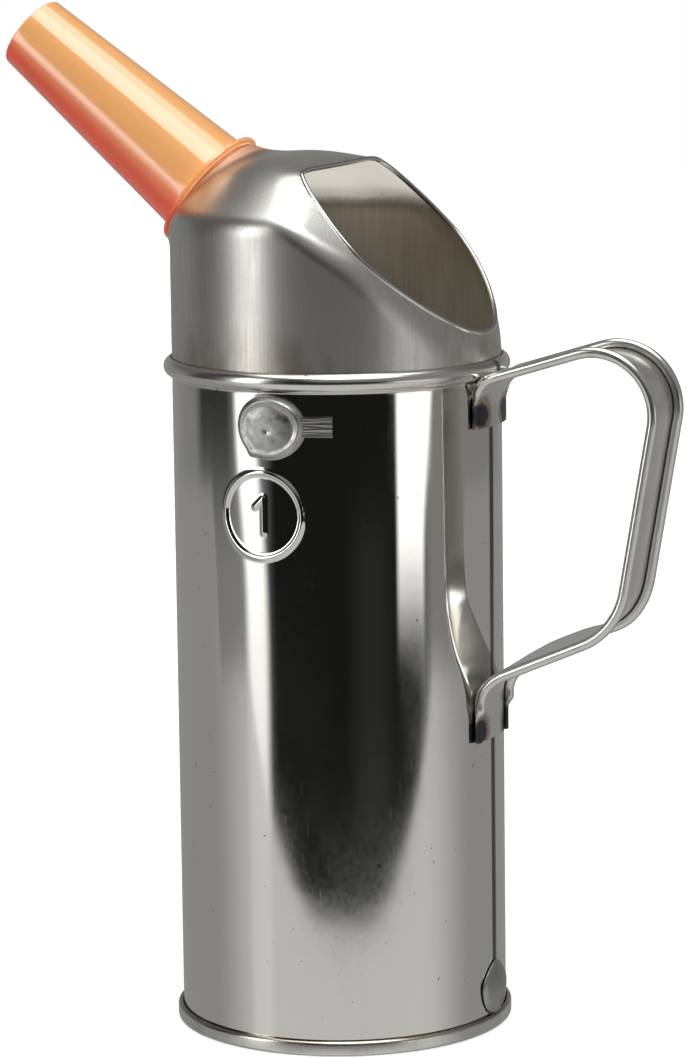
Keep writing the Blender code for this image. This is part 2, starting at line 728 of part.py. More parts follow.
def strap_ring(place, normal, bend_radius, rise_share):
    """The strap's section at one place of its line, wrapped round the body where it has a bend radius."""
    ring = []
    for point in strap_section():
        across = point.x
        rise = min(point.y, STRAP_SHEET) + max(point.y - STRAP_SHEET, 0) * rise_share
        if bend_radius:
            across = (bend_radius - rise) * sin(point.x / bend_radius)
            rise = bend_radius - (bend_radius - rise) * cos(point.x / bend_radius)
        centre = place + normal * rise
        ring.append(Vector((centre.x, across, centre.y)))
    return ring


def strap_skin():
    line = strap_line()
    normals = line_normals(line)
    travelled = [0]
    for start, end in zip(line, line[1:]):
        travelled.append(travelled[-1] + (end - start).length)
    rings = []
    for place, normal, from_lower in zip(line, normals, travelled):
        from_upper = travelled[-1] - from_lower
        pressed = 1 - ease(min(from_lower, from_upper), PRESSED_LENGTH, PRESSED_EASE)
        lower_wrap = 1 - ease(from_lower, LOWER_FOOT_LENGTH, LOWER_FOOT_FADE)
        upper_wrap = 1 - ease(from_upper, UPPER_FOOT_LENGTH, UPPER_FOOT_FADE)
        bend_radius = 0
        if lower_wrap > 0:
            bend_radius = -place.x / lower_wrap
        if upper_wrap > 0:
            bend_radius = place.x / upper_wrap
        rings.append(strap_ring(place, normal, bend_radius, 1 - pressed * (1 - PRESSED_SHARE)))
    return skin_rings(rings)


def add_handle_strap(jug):
    add_piece("handle_strap", strap_skin(), jug, (0.70, 0.68, 0.64), 1.0, 0.18)


def wrapped_bar(start, end, half_height, low_rise, high_rise):
    """A flat bar that follows the wall round, its upper edge a little over the level."""
    rings = []
    for step in range(BAR_STEPS + 1):
        along = start + (end - start) * step / BAR_STEPS
        corners = ((-half_height, low_rise), (half_height, low_rise), (half_height, high_rise),
                   (-half_height, high_rise))
        rings.append([wall_point(LEVEL_ANGLE, along, BAR_CENTRE_HEIGHT + up, rise) for up, rise in corners])
    return skin_rings(rings)


def add_level_bar(jug):
    """The bar outside the wall, with the pin whose upper side marks the level inside."""
    shape = wrapped_bar(-BAR_TAIL, BAR_REACH, BAR_HEIGHT / 2, GAP, GAP + BAR_THICKNESS)
    bar = add_piece("level_bar", shape, jug, (0.60, 0.57, 0.52), 1.0, 0.25)
    outer = BODY_RADIUS + GAP + BAR_THICKNESS / 2
    pin = radial_rod(LEVEL_ANGLE, PIN_HEIGHT, PIN_RADIUS, BODY_RADIUS - PIN_DEPTH, outer)
    add_boolean(bar, "UNION", add_guide("level_pin", pin, jug))


def solder_drop(angle, height, half_width, half_height, rise, shares):
    """A drop of solder over the wall, its underside a clearance off it."""
    levels = [(share, rise * rise_share) for share, rise_share in shares]
    levels += [(share, GAP) for share in SOLDER_FLOOR_SHARES]
    rings = []
    for share, level in levels:
        circle = arc(Vector((0, 0)), share, 0, 2 * pi, SOLDER_SIDES)[:-1]
        places = [(point.x * half_width, height + point.y * half_height) for point in circle]
        rings.append([wall_point(angle, along, up, level) for along, up in places])
    return skin_rings(rings)


def add_level_seal(jug):
    """The solder over the bar's root, slotted where the bar lies in it."""
    shape = solder_drop(LEVEL_ANGLE, SEAL_HEIGHT, SEAL_HALF_WIDTH, SEAL_HALF_HEIGHT, SEAL_RISE, SEAL_SHARES)
    seal = add_piece("level_seal", shape, jug, (0.42, 0.41, 0.38), 1.0, 0.42)
    roof = GAP + BAR_THICKNESS + GAP
    slot = wrapped_bar(-BAR_TAIL - GAP, BAR_REACH, BAR_HEIGHT / 2 + GAP, -BODY_SHEET, roof)
    add_boolean(seal, "DIFFERENCE", add_guide("bar_slot", slot, jug))


def add_seam_seal(jug):
    shape = solder_drop(0, DROP_HEIGHT, DROP_HALF_WIDTH, DROP_HALF_HEIGHT, DROP_RISE, DROP_SHARES)
    add_piece("seam_seal", shape, jug, (0.42, 0.41, 0.38), 1.0, 0.42)


def nozzle_reach():
    """How far the nozzle's tip lies from the body's axis, towards -X."""
    return max(SEAT_REACH + cos(NOZZLE_RISE) * p.y + sin(NOZZLE_RISE) * p.x for p in nozzle_outline())


def handle_reach():
    """How far the handle's grip lies from the body's axis, towards +X."""
    line = strap_line()
    outer = [place.x + normal.x * 2 * CURL_RADIUS for place, normal in zip(line, line_normals(line))]
    return max(outer)


def main():
    clear_scene()
    jug = add_empty("jug", ((nozzle_reach() - handle_reach()) / 2, 0, 0))
    add_body_shell(jug)
    add_base_cap(jug)
    add_base_solder(jug)
    add_rim_solder(jug)
    add_hood(jug)
    add_nozzle(jug)
    add_handle_strap(jug)
    add_level_bar(jug)
    add_level_seal(jug)
    add_seam_seal(jug)


main()
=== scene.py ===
"""Looks of the tinplate oil measuring jug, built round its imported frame.

Sizes are metres in the frame's axes: the handle points to +X, the nozzle to -X and the measuring mark to -Y.
Most shapes are worked out about the body's own axis and moved onto it at the end.
"""

from functools import partial
from math import atan2, cos, pi, radians, sin, tan

import bmesh
import bpy
import numpy as np
from bpy.props import FloatProperty, FloatVectorProperty, IntProperty, PointerProperty
from mathutils import Matrix, Vector


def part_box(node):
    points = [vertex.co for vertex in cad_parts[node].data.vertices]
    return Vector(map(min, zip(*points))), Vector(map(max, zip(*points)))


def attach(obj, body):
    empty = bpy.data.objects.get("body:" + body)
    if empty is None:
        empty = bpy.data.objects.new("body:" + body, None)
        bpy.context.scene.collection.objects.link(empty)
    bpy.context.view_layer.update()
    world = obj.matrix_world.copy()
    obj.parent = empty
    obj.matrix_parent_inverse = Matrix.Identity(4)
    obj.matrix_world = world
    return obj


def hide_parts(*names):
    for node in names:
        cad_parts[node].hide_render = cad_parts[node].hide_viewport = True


bl_info = {
    "name": "Oil measuring jug",
    "version": (1, 0, 0),
    "blender": (4, 5, 0),
    "location": "View3D > Sidebar > Jug",
    "description": "Builds the tinplate oil measuring jug with its nozzle, and a plain studio round it",
    "category": "Mesh",
}

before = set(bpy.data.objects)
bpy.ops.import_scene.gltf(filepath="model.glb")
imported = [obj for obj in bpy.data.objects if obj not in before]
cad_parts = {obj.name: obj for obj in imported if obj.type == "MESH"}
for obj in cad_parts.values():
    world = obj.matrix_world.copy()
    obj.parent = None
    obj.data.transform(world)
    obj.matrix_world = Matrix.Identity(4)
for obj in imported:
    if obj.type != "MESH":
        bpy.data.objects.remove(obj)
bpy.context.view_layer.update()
BODY_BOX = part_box("body_shell")
AXIS_X = (BODY_BOX[0].x + BODY_BOX[1].x) / 2

CAMERA_PLACE = Vector((0.4413277, -1.0133972, 0.3152))
CAMERA_TURN_DEG = 23.444
CAMERA_DOWN_DEG = 9.310
CAMERA_ROLL_DEG = -0.728
CAMERA_LENS = 141.33
CAMERA_SENSOR = 36.0
CAMERA_REACH = 50.0
FRONT_ANGLE = atan2(CAMERA_PLACE.y, CAMERA_PLACE.x - AXIS_X)

# Distance from the mouth's centre to its curved rim as shares of the mouth's radius, at equal angles from its
# lowest point to its highest
MOUTH_SHARES = np.array((1.0, 0.99, 0.955, 0.947, 0.98, 1.04, 1.097, 1.125, 1.17, 1.25, 1.32, 1.36, 1.375))

SEARCH_STEPS = 36
SHARP_DEG = 38.0
MERGE_DISTANCE = 1e-7
LEAST_ANGLE = 1e-4
LEAST_DIVISOR = 1e-9
LEAST_UPHILL = 1e-6


def length(name, default, description):
    return FloatProperty(name=name, description=description, default=default, unit="LENGTH", precision=5)


def turn(name, degrees, description):
    return FloatProperty(name=name, description=description, default=radians(degrees), unit="ROTATION")


def share(name, default, description):
    return FloatProperty(name=name, description=description, default=default, min=0.0, soft_max=1.0)


def count(name, default, description):
    return IntProperty(name=name, description=description, default=default, min=3)


def colour(name, default, description):
    return FloatVectorProperty(name=name, description=description, default=default, size=3, subtype="COLOR",
                               min=0.0, max=1.0)


class JugBodySizes(bpy.types.PropertyGroup):
    """Sizes of the rolled body."""

    radius: length("Radius", 0.0442, "Outer radius of the wall")
    sheet: length("Sheet", 0.0004, "Thickness of the sheet")
    foot: length("Foot", 0.0008, "Height of the lower edge")
    bead_height: length("Bead height", 0.1792, "Height of the bead's centre")
    bead_radius: length("Bead radius", 0.0025, "Outer radius of the bead")
    bead_fillet: length("Bead fillet", 0.0006, "Bend between the wall and the bead")
    gap: length("Gap", 0.0003, "Clearance between the bead's edge and the hood")
    seam_width: length("Seam width", 0.0027, "Width of the seam's groove")
    seam_depth: length("Seam depth", 0.00028, "Depth of the seam's groove")
    fold_width: length("Fold width", 0.0036, "Width of the fold inside")
    fold_depth: length("Fold depth", 0.0008, "Depth of the fold inside")
    ridge_half_width: length("Ridge half width", 0.00115, "Half width of the pressed ridges")
    ridge_rise: length("Ridge rise", 0.00055, "How far the pressed ridges stand out")
    ring_height: length("Ring height", 0.1442, "Height of the pressed ring's centre")
    ring_radius: length("Ring radius", 0.01125, "Radius of the pressed ring")
    figure_half_height: length("Figure half height", 0.0046, "Half height of the pressed figure")
    figure_offset: length("Figure offset", 0.0006, "How far the figure's stem lies beside the ring's centre")
    flag_width: length("Flag width", 0.0024, "Width of the figure's flag")
    mark_turn: turn("Mark turn", 3.65, "How far the ring lies round from -Y towards the nozzle")
    level_turn: turn("Level turn", -0.2, "How far the level bar lies round from -Y towards the nozzle")
    wave: length("Wave", 0.000014, "Unevenness of the rolled wall")
    columns: count("Columns", 220, "Columns of the wall away from the mark and the seam")


class JugBaseSizes(bpy.types.PropertyGroup):
    """Sizes of the folded base."""

    sheet: length("Sheet", 0.0005, "Thickness of the sheet")
    outer_radius: length("Outer radius", 0.0457, "Outer radius of the folded rim")
    height: length("Height", 0.004, "Height of the folded rim")
    recess: length("Recess", 0.003, "How far the plate lies above the floor")
    bend: length("Bend", 0.0007, "Bend radius of the folds")
    sides: count("Sides", 224, "Sides of the round shapes")


class JugHoodSizes(bpy.types.PropertyGroup):
    """Sizes of the drawn hood."""

    sheet: length("Sheet", 0.0005, "Thickness of the sheet")
    flange: length("Flange", 0.00065, "Width of the flange held in the bead")
    shoulder_height: length("Shoulder height", 0.2200, "Height of the crease between wall and cone")
    crown_height: length("Crown height", 0.2354, "Height of the nearly flat crown")
    crown_rounding: length("Crown rounding", 0.007, "Softness of the bend below the crown")
    crease_rounding: length("Crease rounding", 0.0030, "Softness of the crease")
    dome_slope: turn("Dome slope", 37.5, "Slope of the cone")
    neck_radius: length("Neck radius", 0.0162, "Outer radius of the neck")
    neck_rounding: length("Neck rounding", 0.007, "Softness of the bend beside the neck")
    neck_ease: length("Neck ease", 0.0012, "Length over which that bend begins")
    neck_stub: length("Neck stub", 0.00002, "How far the neck stands over its land")
    land_rounding: length("Land rounding", 0.004, "Softness of the bend round the land")
    core_depth: length("Core depth", 0.030, "Depth of the point that the surface is traced from")
    mouth_reach: length("Mouth reach", 0.022011, "Place of the mouth's centre from the axis")
    mouth_height: length("Mouth height", 0.210658, "Height of the mouth's centre")
    mouth_slope: turn("Mouth slope", 46.1, "Slope of the mouth")
    mouth_radius: length("Mouth radius", 0.032, "Distance from the mouth's centre to its lowest rim")
    mouth_top: length("Mouth top", 0.0306, "Distance from the mouth's centre to its straight upper rim")
    mouth_corner: length("Mouth corner", 0.0012, "Softness of the mouth's two corners")
    bevel: turn("Bevel", 27.0, "Angle between the mouth and the band round it")
    bevel_rounding: length("Bevel rounding", 0.0026, "Softness of the bend outside that band")
    lip_radius: length("Lip radius", 0.00068, "Radius of the rolled lip")
    crowding: share("Crowding", 1.5, "How much closer the columns stand beside the neck")
    sides: count("Sides", 256, "Columns round the hood")
    roof_rings: count("Roof rings", 76, "Rings from the neck to the crease")
    wall_rings: count("Wall rings", 22, "Rings from the crease to the foot")


class JugNozzleSizes(bpy.types.PropertyGroup):
    """Sizes of the pouring nozzle."""

    rise: turn("Rise", 38.4, "Rise of the nozzle's axis")
    seat_reach: length("Seat reach", 0.0361, "Place of the collar's underside from the body's axis")
    seat_height: length("Seat height", 0.2246, "Height of the collar's underside")
    length: length("Length", 0.068, "Length from the collar's underside to the tip")
    root_radius: length("Root radius", 0.0149, "Outer radius at the collar")
    tip_radius: length("Tip radius", 0.0105, "Outer radius at the tip")
    wall: length("Wall", 0.0013, "Thickness of the wall")
    collar_radius: length("Collar radius", 0.0176, "Outer radius of the collar")
    collar_thickness: length("Collar thickness", 0.0013, "Thickness of the collar")
    spigot_length: length("Spigot length", 0.014, "Length of the spigot")
    spigot_taper: length("Spigot taper", 0.0008, "How much the spigot narrows")
    edge: length("Edge", 0.0005, "Rounding of the tip's edge")
    fillet: length("Fillet", 0.0004, "Rounding of the collar's edges")
    sides: count("Sides", 160, "Sides of the round shapes")


class JugHandleSizes(bpy.types.PropertyGroup):
    """Sizes of the strap handle."""

    sheet: length("Sheet", 0.0005, "Thickness of the sheet")
    curl_radius: length("Curl radius", 0.00145, "Outer radius of the rolled edges")
    curl_spacing: length("Curl spacing", 0.0203, "Distance between the rolled edges")
    curl_end: turn("Curl end", 205.0, "How far round the edges are rolled")
    pressed_share: share("Pressed share", 0.35, "How much of the rolled edges' rise is left at the ends")
    pressed_length: length("Pressed length", 0.006, "Length of the flattened ends")
    pressed_ease: length("Pressed ease", 0.0030, "Length of the passage to the flattened ends")
    lower_end_height: length("Lower end height", 0.0802, "Height of the lower end")
    lower_arm_height: length("Lower arm height", 0.0975, "Height where the lower arm meets the wall")
    lower_arm_length: length("Lower arm length", 0.0407, "Length of the lower arm")
    lower_arm_rise: turn("Lower arm rise", 23.5, "Rise of the lower arm")
    lower_foot_bend: length("Lower foot bend", 0.01045, "Bend radius at the lower foot")
    lower_foot_length: length("Lower foot length", 0.0104, "Length that follows the wall at the lower foot")
    lower_foot_fade: length("Lower foot fade", 0.012, "Length over which the lower foot turns flat")
    lower_grip_bend: length("Lower grip bend", 0.0185, "Bend radius below the grip")
    upper_end_height: length("Upper end height", 0.1643, "Height of the upper end")
    upper_arm_drop: length("Upper arm drop", 0.0006, "How far the upper arm meets the wall below the bead")
    upper_arm_length: length("Upper arm length", 0.0502, "Length of the upper arm")
    upper_arm_rise: turn("Upper arm rise", 17.0, "Rise of the upper arm")
    upper_foot_bend: length("Upper foot bend", 0.00505, "Bend radius at the upper foot")
    upper_foot_length: length("Upper foot length", 0.0081, "Length that follows the wall at the upper foot")
    upper_foot_fade: length("Upper foot fade", 0.0065, "Length over which the upper foot turns flat")
    upper_grip_bend: length("Upper grip bend", 0.0148, "Bend radius above the grip")
    far_lift: length("Far lift", 0.0019, "How much higher the lower arm's far edge runs")
    curl_steps: count("Curl steps", 20, "Steps round each rolled edge")


class JugSolderSizes(bpy.types.PropertyGroup):
    """Sizes of the solder over the level bar and at the foot of the seam."""

    seal_height: length("Seal height", 0.1674, "Height of the seal's centre")
    seal_half_width: length("Seal half width", 0.0096, "Half width of the seal")
    seal_half_height: length("Seal half height", 0.0085, "Half height of the seal")
    seal_rise: length("Seal rise", 0.00215, "Thickness of the seal")
    drop_height: length("Drop height", 0.0112, "Height of the drop's centre")
    drop_half_width: length("Drop half width", 0.0080, "Half width of the drop")
    drop_half_height: length("Drop half height", 0.0076, "Half height of the drop")
    drop_rise: length("Drop rise", 0.002, "Thickness of the drop")
    lumps: length("Lumps", 0.00007, "Unevenness of the solder's skin")


class JugColours(bpy.types.PropertyGroup):
    """Colours of the jug's finishes."""

    tin: colour("Tin", (0.80, 0.79, 0.745), "Bright tinplate")
    satin_tin: colour("Satin tin", (0.79, 0.775, 0.725), "Drawn tinplate of the hood")
    inner_tin: colour("Inner tin", (0.80, 0.76, 0.66), "Tinplate inside the hood")
    solder: colour("Solder", (0.60, 0.595, 0.575), "Solder skin")
    flux: colour("Flux", (0.30, 0.22, 0.12), "Dried flux beside the solder")
    crust: colour("Crust", (0.16, 0.15, 0.14), "Crusted spots of the solder")
    speck: colour("Speck", (0.12, 0.11, 0.10), "Dark specks on the body")
    # Painted shade: near black in the side seam's groove
    seam: colour("Seam", (0.07, 0.068, 0.07), "Groove of the side seam")
    # Painted shade: darker in the level bar's grooves
    groove: colour("Groove", (0.22, 0.21, 0.20), "Grooves of the level bar")
    # Painted reflection: the nozzle's orange reflex painted into the hood's colour round its neck
    painted_nozzle_reflex: colour("Warm reflex", (0.80, 0.42, 0.22), "Reflex of the nozzle on the hood")
    # Painted light: emission that makes the inside glow under the hood's crown
    painted_inner_glow: colour("Inner light", (0.96, 0.95, 0.86), "Light under the hood's crown")
    scorch: colour("Scorch", (0.035, 0.04, 0.055), "Heat mark at a spot weld")
    scorch_edge: colour("Scorch edge", (0.30, 0.19, 0.10), "Straw-brown edge of a heat mark")
    plastic: colour("Plastic", (1.0, 0.45, 0.15), "Plastic of the nozzle")
    # Painted shade: the nozzle's underside is a darker, redder copy of its plastic and its glow
    plastic_shaded_below: colour("Plastic below", (0.78, 0.10, 0.03), "Plastic of the nozzle's underside")
    # Painted glow: emission on the nozzle's outer skin that stands in for light through the plastic
    glow: colour("Glow", (1.0, 0.50, 0.20), "Light through the nozzle")
    glow_shaded_below: colour("Glow below", (0.85, 0.07, 0.015), "Light through the nozzle's underside")
    floor: colour("Floor", (0.8, 0.8, 0.8), "Pale floor")
    beyond_table: colour("Beyond table", (0.10, 0.10, 0.10), "What lights the jug from beyond the table")


class JugStudioSizes(bpy.types.PropertyGroup):
    """Levels of the studio's light."""

    room: share("Room", 0.22, "Level of the room round the jug")
    dark: share("Dark", 0.009, "Level of the unlit part of the room in front of the jug")
    back: share("Back", 0.28, "Level of the room behind the jug")
    table: share("Table", 0.42, "Level of the pale table")
    left_box: share("Left box", 1.15, "Level of the softbox on the left")
    right_box: share("Right box", 1.5, "Level of the softbox on the right")
    top_box: share("Top box", 4.0, "Level of the softbox overhead")
    floor_lift: share("Floor lift", 0.55, "Glow that takes the lit floor to white")
    floor_radius: length("Floor radius", 3.0, "Radius of the floor")


class JugSettings(bpy.types.PropertyGroup):
    """Everything that shapes and colours the jug and its studio."""

    body: PointerProperty(type=JugBodySizes)
    base: PointerProperty(type=JugBaseSizes)
    hood: PointerProperty(type=JugHoodSizes)
    nozzle: PointerProperty(type=JugNozzleSizes)
    handle: PointerProperty(type=JugHandleSizes)
    solder: PointerProperty(type=JugSolderSizes)
    colours: PointerProperty(type=JugColours)
    studio: PointerProperty(type=JugStudioSizes)


def sheet_faces(rows, columns, closed_rows, closed_columns):
    """Corner numbers of the quads between rows of points."""
    row, column = np.meshgrid(
        np.arange(rows if closed_rows else rows - 1),
        np.arange(columns if closed_columns else columns - 1),
        indexing="ij",
    )
    next_row = (row + 1) % rows
    next_column = (column + 1) % columns
    corners = (row * columns + column, row * columns + next_column, next_row * columns + next_column,
               next_row * columns + column)
    return np.stack(corners, -1).reshape(-1, 4)


def grid_shape(points, closed_rows=False, closed_columns=True, caps=False):
    """A bmesh from a (rows, columns, 3) grid of points."""
    rows, columns = points.shape[:2]
    shape = bmesh.new()
    corners = [shape.verts.new(point) for point in points.reshape(-1, 3)]
    for face in sheet_faces(rows, columns, closed_rows, closed_columns).tolist():
        shape.faces.new([corners[index] for index in face])
    if caps:
        shape.faces.new(corners[:columns])
        shape.faces.new(corners[-columns:])
    return shape


def add_piece(name, shape, node, body, materials):
    """Turn a bmesh into a smooth piece that stands for a node of the frame and rides on its body."""
    bmesh.ops.recalc_face_normals(shape, faces=shape.faces)
    mesh = bpy.data.meshes.new(name)
    shape.to_mesh(mesh)
    shape.free()
    if not mesh.polygons:
        raise RuntimeError(name + " has no faces")
    mesh.shade_smooth()
    mesh.set_sharp_from_angle(angle=radians(SHARP_DEG))
    for material in materials:
        mesh.materials.append(material)
    piece = bpy.data.objects.new(name, mesh)
    bpy.context.scene.collection.objects.link(piece)
    piece.matrix_world = Matrix.Translation((AXIS_X, 0, 0))
    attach(piece, body)
    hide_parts(node)
    return piece


def dress_node(name, material):
    """Give a node of the frame a new finish in place of its plain one."""
    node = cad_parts[name]
    for slot in node.material_slots:
        slot.link = "DATA"
        slot.material = material
    if not node.material_slots:
        node.data.materials.append(material)


def rounded_path(points, radii, step=radians(9)):
    """Points of a flat path whose corners are rounded by the given radii."""
    points = [np.array(point, float) for point in points]
    path = [points[0]]
    for start, corner, end, radius in zip(points, points[1:], points[2:], radii[1:]):
        before = (corner - start) / np.linalg.norm(corner - start)
        after = (end - corner) / np.linalg.norm(end - corner)
        angle = atan2(before[0] * after[1] - before[1] * after[0], float(before @ after))
        if radius == 0 or abs(angle) < LEAST_ANGLE:
            path.append(corner)
            continue
        inwards = np.array((-before[1], before[0])) * (1 if angle > 0 else -1)
        centre = corner - before * (radius * tan(abs(angle) / 2)) + inwards * radius
        first = atan2(-inwards[1], -inwards[0])
        steps = max(2, int(np.ceil(abs(angle) / step)))
        turns = first + angle * np.arange(steps + 1) / steps
        path += [centre + radius * np.array((cos(t), sin(t))) for t in turns]
    path.append(points[-1])
    return np.array(path)


def finer_path(path, spacing):
    """The same path with points added so that none lie further apart than the spacing."""
    result = [path[0]]
    for start, end in zip(path, path[1:]):
        parts = max(1, int(np.ceil(np.linalg.norm(end - start) / spacing)))
        result += [start + (end - start) * part / parts for part in range(1, parts + 1)]
    return np.array(result)


def path_sides(path):
    """The right-hand side of a flat path at each of its points."""
    ahead = np.gradient(path, axis=0)
    ahead[1:-1] = path[2:] - path[:-2]
    side = np.stack((ahead[:, 1], -ahead[:, 0]), -1)
    return side / np.linalg.norm(side, axis=1, keepdims=True)


def sheet_outline(path, thickness):
    """Both sides of a sheet whose middle follows a flat path."""
    side = path_sides(path) * thickness / 2
    return np.concatenate((path + side, (path - side)[::-1]))


def turned(outline, sides):
    """Turn a closed (radius, height) outline round Z as a grid of points."""
    angles = 2 * pi * np.arange(sides) / sides
    radius, height = outline[:, 0, None], outline[:, 1, None]
    return np.stack((radius * np.cos(angles), radius * np.sin(angles), height + 0 * angles), -1)


def smooth_step(value, low, high):
    share_done = np.clip((value - low) / (high - low), 0, 1)
    return share_done * share_done * (3 - 2 * share_done)


def bump(distance, half_width):
    """A rounded ridge: 1 in the middle, 0 from the half width on."""
    return np.cos(np.clip(distance / half_width, 0, 1) * pi / 2) ** 2


def segment_distance(along, up, start, end):
    """Distance of flat points from a straight stroke."""
    stroke = np.array(end) - np.array(start)
    done = ((along - start[0]) * stroke[0] + (up - start[1]) * stroke[1]) / (stroke @ stroke)
    done = np.clip(done, 0, 1)
    return np.hypot(along - start[0] - stroke[0] * done, up - start[1] - stroke[1] * done)


def wrapped(angle):
    return (angle + pi) % (2 * pi) - pi


def mark_angle(body):
    return -pi / 2 - body.mark_turn


def level_angle(body):
    return -pi / 2 - body.level_turn


# How wide the figure's ridge is beside the ring's
FIGURE_WIDTH_SHARE = 0.95


def mark_rise(body, angle, height):
    """How far the pressed ring and its figure stand out of the wall."""
    along = wrapped(angle - mark_angle(body)) * body.radius
    up = height - body.ring_height
    head = (body.figure_offset, body.figure_half_height)
    foot = (body.figure_offset, -body.figure_half_height)
    tip = (head[0] - body.flag_width, head[1] - body.flag_width)
    ring = np.abs(np.hypot(along, up) - body.ring_radius)
    figure = np.minimum(segment_distance(along, up, head, foot), segment_distance(along, up, head, tip))
    figure_bump = bump(figure, body.ridge_half_width * FIGURE_WIDTH_SHARE)
    return body.ridge_rise * np.maximum(bump(ring, body.ridge_half_width), figure_bump)


def between(value, rise, fall):
    """0 outside two limits and 1 between them, each limit a passage from one value to another."""
    return smooth_step(value, *rise) * (1 - smooth_step(value, *fall))


# Waves of the wall: how many go round it, three times how many go up a metre, and their phase
WALL_WAVES = ((2, 11.0, 0.4), (3, 23.0, 2.1), (5, 37.0, 4.0), (8, 17.0, 5.2))
WAVES_START = (0.004, 0.02)
WAVES_END = (0.165, 0.1755)


def wall_wave(body, angle, height):
    """Slight unevenness that a rolled sheet has."""
    total = sum(np.sin(turns * angle + phase) * np.cos(rate * height * 2 * pi / 3 + 2 * phase)
                for turns, rate, phase in WALL_WAVES)
    return body.wave * total * between(height, WAVES_START, WAVES_END)


# Half widths and steps of the wall's fine columns, and the angle kept free beside them
MARK_COLUMNS = (0.0136, 0.00034)
SEAM_COLUMNS = (0.0030, 0.0002)
COLUMN_GAP = 0.01


def fine_columns(body, half_width, step):
    return np.arange(-half_width, half_width + step / 2, step) / body.radius


def body_columns(body):
    """Angles of the wall's columns, closer together at the mark and at the seam."""
    mark = mark_angle(body) + fine_columns(body, *MARK_COLUMNS)
    seam = fine_columns(body, *SEAM_COLUMNS)
    plain = -pi + 2 * pi * np.arange(body.columns) / body.columns
    clear = np.ones(len(plain), bool)
    for dense in (mark, seam):
        clear &= (plain < dense[0] - COLUMN_GAP) | (plain > dense[-1] + COLUMN_GAP)
    return np.sort(np.concatenate((plain[clear], mark, seam)))


# Heights of the wall's rows: at the foot, plain, across the pressed ring, and below the bead
FOOT_ROWS = (0.0015, 0.0045, 0.0052, 0.0058, 0.0065, 0.009)
PLAIN_ROWS = (0.012, 0.129, 0.0065)
RING_ROWS = (0.1302, 0.1583, 0.00034)
UPPER_ROWS = (0.162, 0.167, 0.172, 0.1746, 0.1755, 0.1760)

# Where the bead starts, and the points along it and along the bend below it
BEAD_START_DEG = -68
BEAD_STEPS = 34
BEND_STEPS = 7

# Heights at which the seam's groove and its fold start and end, and how soft their sides are
GROOVE_START = (0.0050, 0.0060)
GROOVE_END = (0.1755, 0.1762)
GROOVE_SIDE = 0.00025
FOLD_START = (0.0058, 0.0065)
FOLD_END = (0.165, 0.170)
FOLD_SIDES = (0.0003, 0.0002)


def body_grid(body):
    """Points of the body's sheet: outside from the foot up, round the bead, and inside down again."""
    middle = body.radius - body.sheet / 2
    arc_radius = body.bead_radius - body.sheet / 2
    low = body.bead_height - arc_radius
    lip = np.arccos((body.radius + body.gap - middle) / (body.bead_radius - body.sheet))
    heights = [body.foot, *FOOT_ROWS, *np.arange(*PLAIN_ROWS), *np.arange(*RING_ROWS), *UPPER_ROWS]
    wall = np.array([(middle, height) for height in heights])
    fillet = body.bead_fillet
    turns = np.linspace(0, pi / 2, BEND_STEPS)
    bend = np.stack((middle + fillet * (1 - np.cos(turns)), low - fillet + fillet * np.sin(turns)), -1)
    angles = np.linspace(radians(BEAD_START_DEG), lip, BEAD_STEPS)
    bead = np.stack((np.cos(angles), np.sin(angles)), -1) * arc_radius + (middle, body.bead_height)
    path = np.concatenate((wall, bend, bead))
    outline = sheet_outline(path, body.sheet)
    outside = np.arange(len(outline)) < len(path)
    on_wall = np.concatenate((np.arange(len(path)) < len(wall),) * 2)
    on_wall[len(path):] = on_wall[len(path):][::-1]
    angle = body_columns(body)[None, :]
    radius, height = outline[:, :1], outline[:, 1:]
    along = np.abs(wrapped(angle)) * body.radius
    pressed = mark_rise(body, angle, height) + wall_wave(body, angle, height)
    half_seam, half_fold = body.seam_width / 2, body.fold_width / 2
    groove = body.seam_depth * (1 - smooth_step(along, half_seam - GROOVE_SIDE, half_seam))
    groove = groove * between(height, GROOVE_START, GROOVE_END)
    fold = body.fold_depth * (1 - smooth_step(along, half_fold - FOLD_SIDES[0], half_fold + FOLD_SIDES[1]))
    fold = fold * between(height, FOLD_START, FOLD_END)
    change = pressed - np.where(outside[:, None], groove, fold)
    radius = radius + change * on_wall[:, None]
    return np.stack((radius * np.cos(angle), radius * np.sin(angle), height + 0 * angle), -1)


# How wide the plate's edge is that is left flat, and how tight its inner fold is beside the others
PLATE_EDGE = 0.004
INNER_BEND_SHARE = 0.8


def base_outline(base, body):
    """Sheet of the base: plate, wall inside the foot, foot ring and rim folded up outside."""
    half = base.sheet / 2
    wall = body.radius - body.sheet - body.gap - half
    lip = body.radius + body.gap
    outer = base.outer_radius - half
    plate = base.recess + half
    top = base.height - half
    corners = [(0.0, plate), (wall - PLATE_EDGE, plate), (wall, plate), (wall, half), (outer, half),
               (outer, top), (lip, top)]
    path = rounded_path(corners, [0, 0, base.bend, base.bend * INNER_BEND_SHARE, base.bend, base.bend, 0])
    return sheet_outline(path, base.sheet)


def rounded_max(first, second, size):
    """The larger of two values, with a smooth passage where they differ by less than a size."""
    overlap = np.maximum(size - np.abs(first - second), 0)
    return np.maximum(first, second) + overlap ** 2 / (4 * np.maximum(size, LEAST_DIVISOR))


def rounded_min(first, second, size):
    return -rounded_max(-first, -second, size)


# How the wall's rings crowd to the crease, how far down they go at most, and what share of the wall they take
WALL_CROWDING = 1.6
WALL_DROP = 0.010
WALL_DROP_SHARE = 0.6


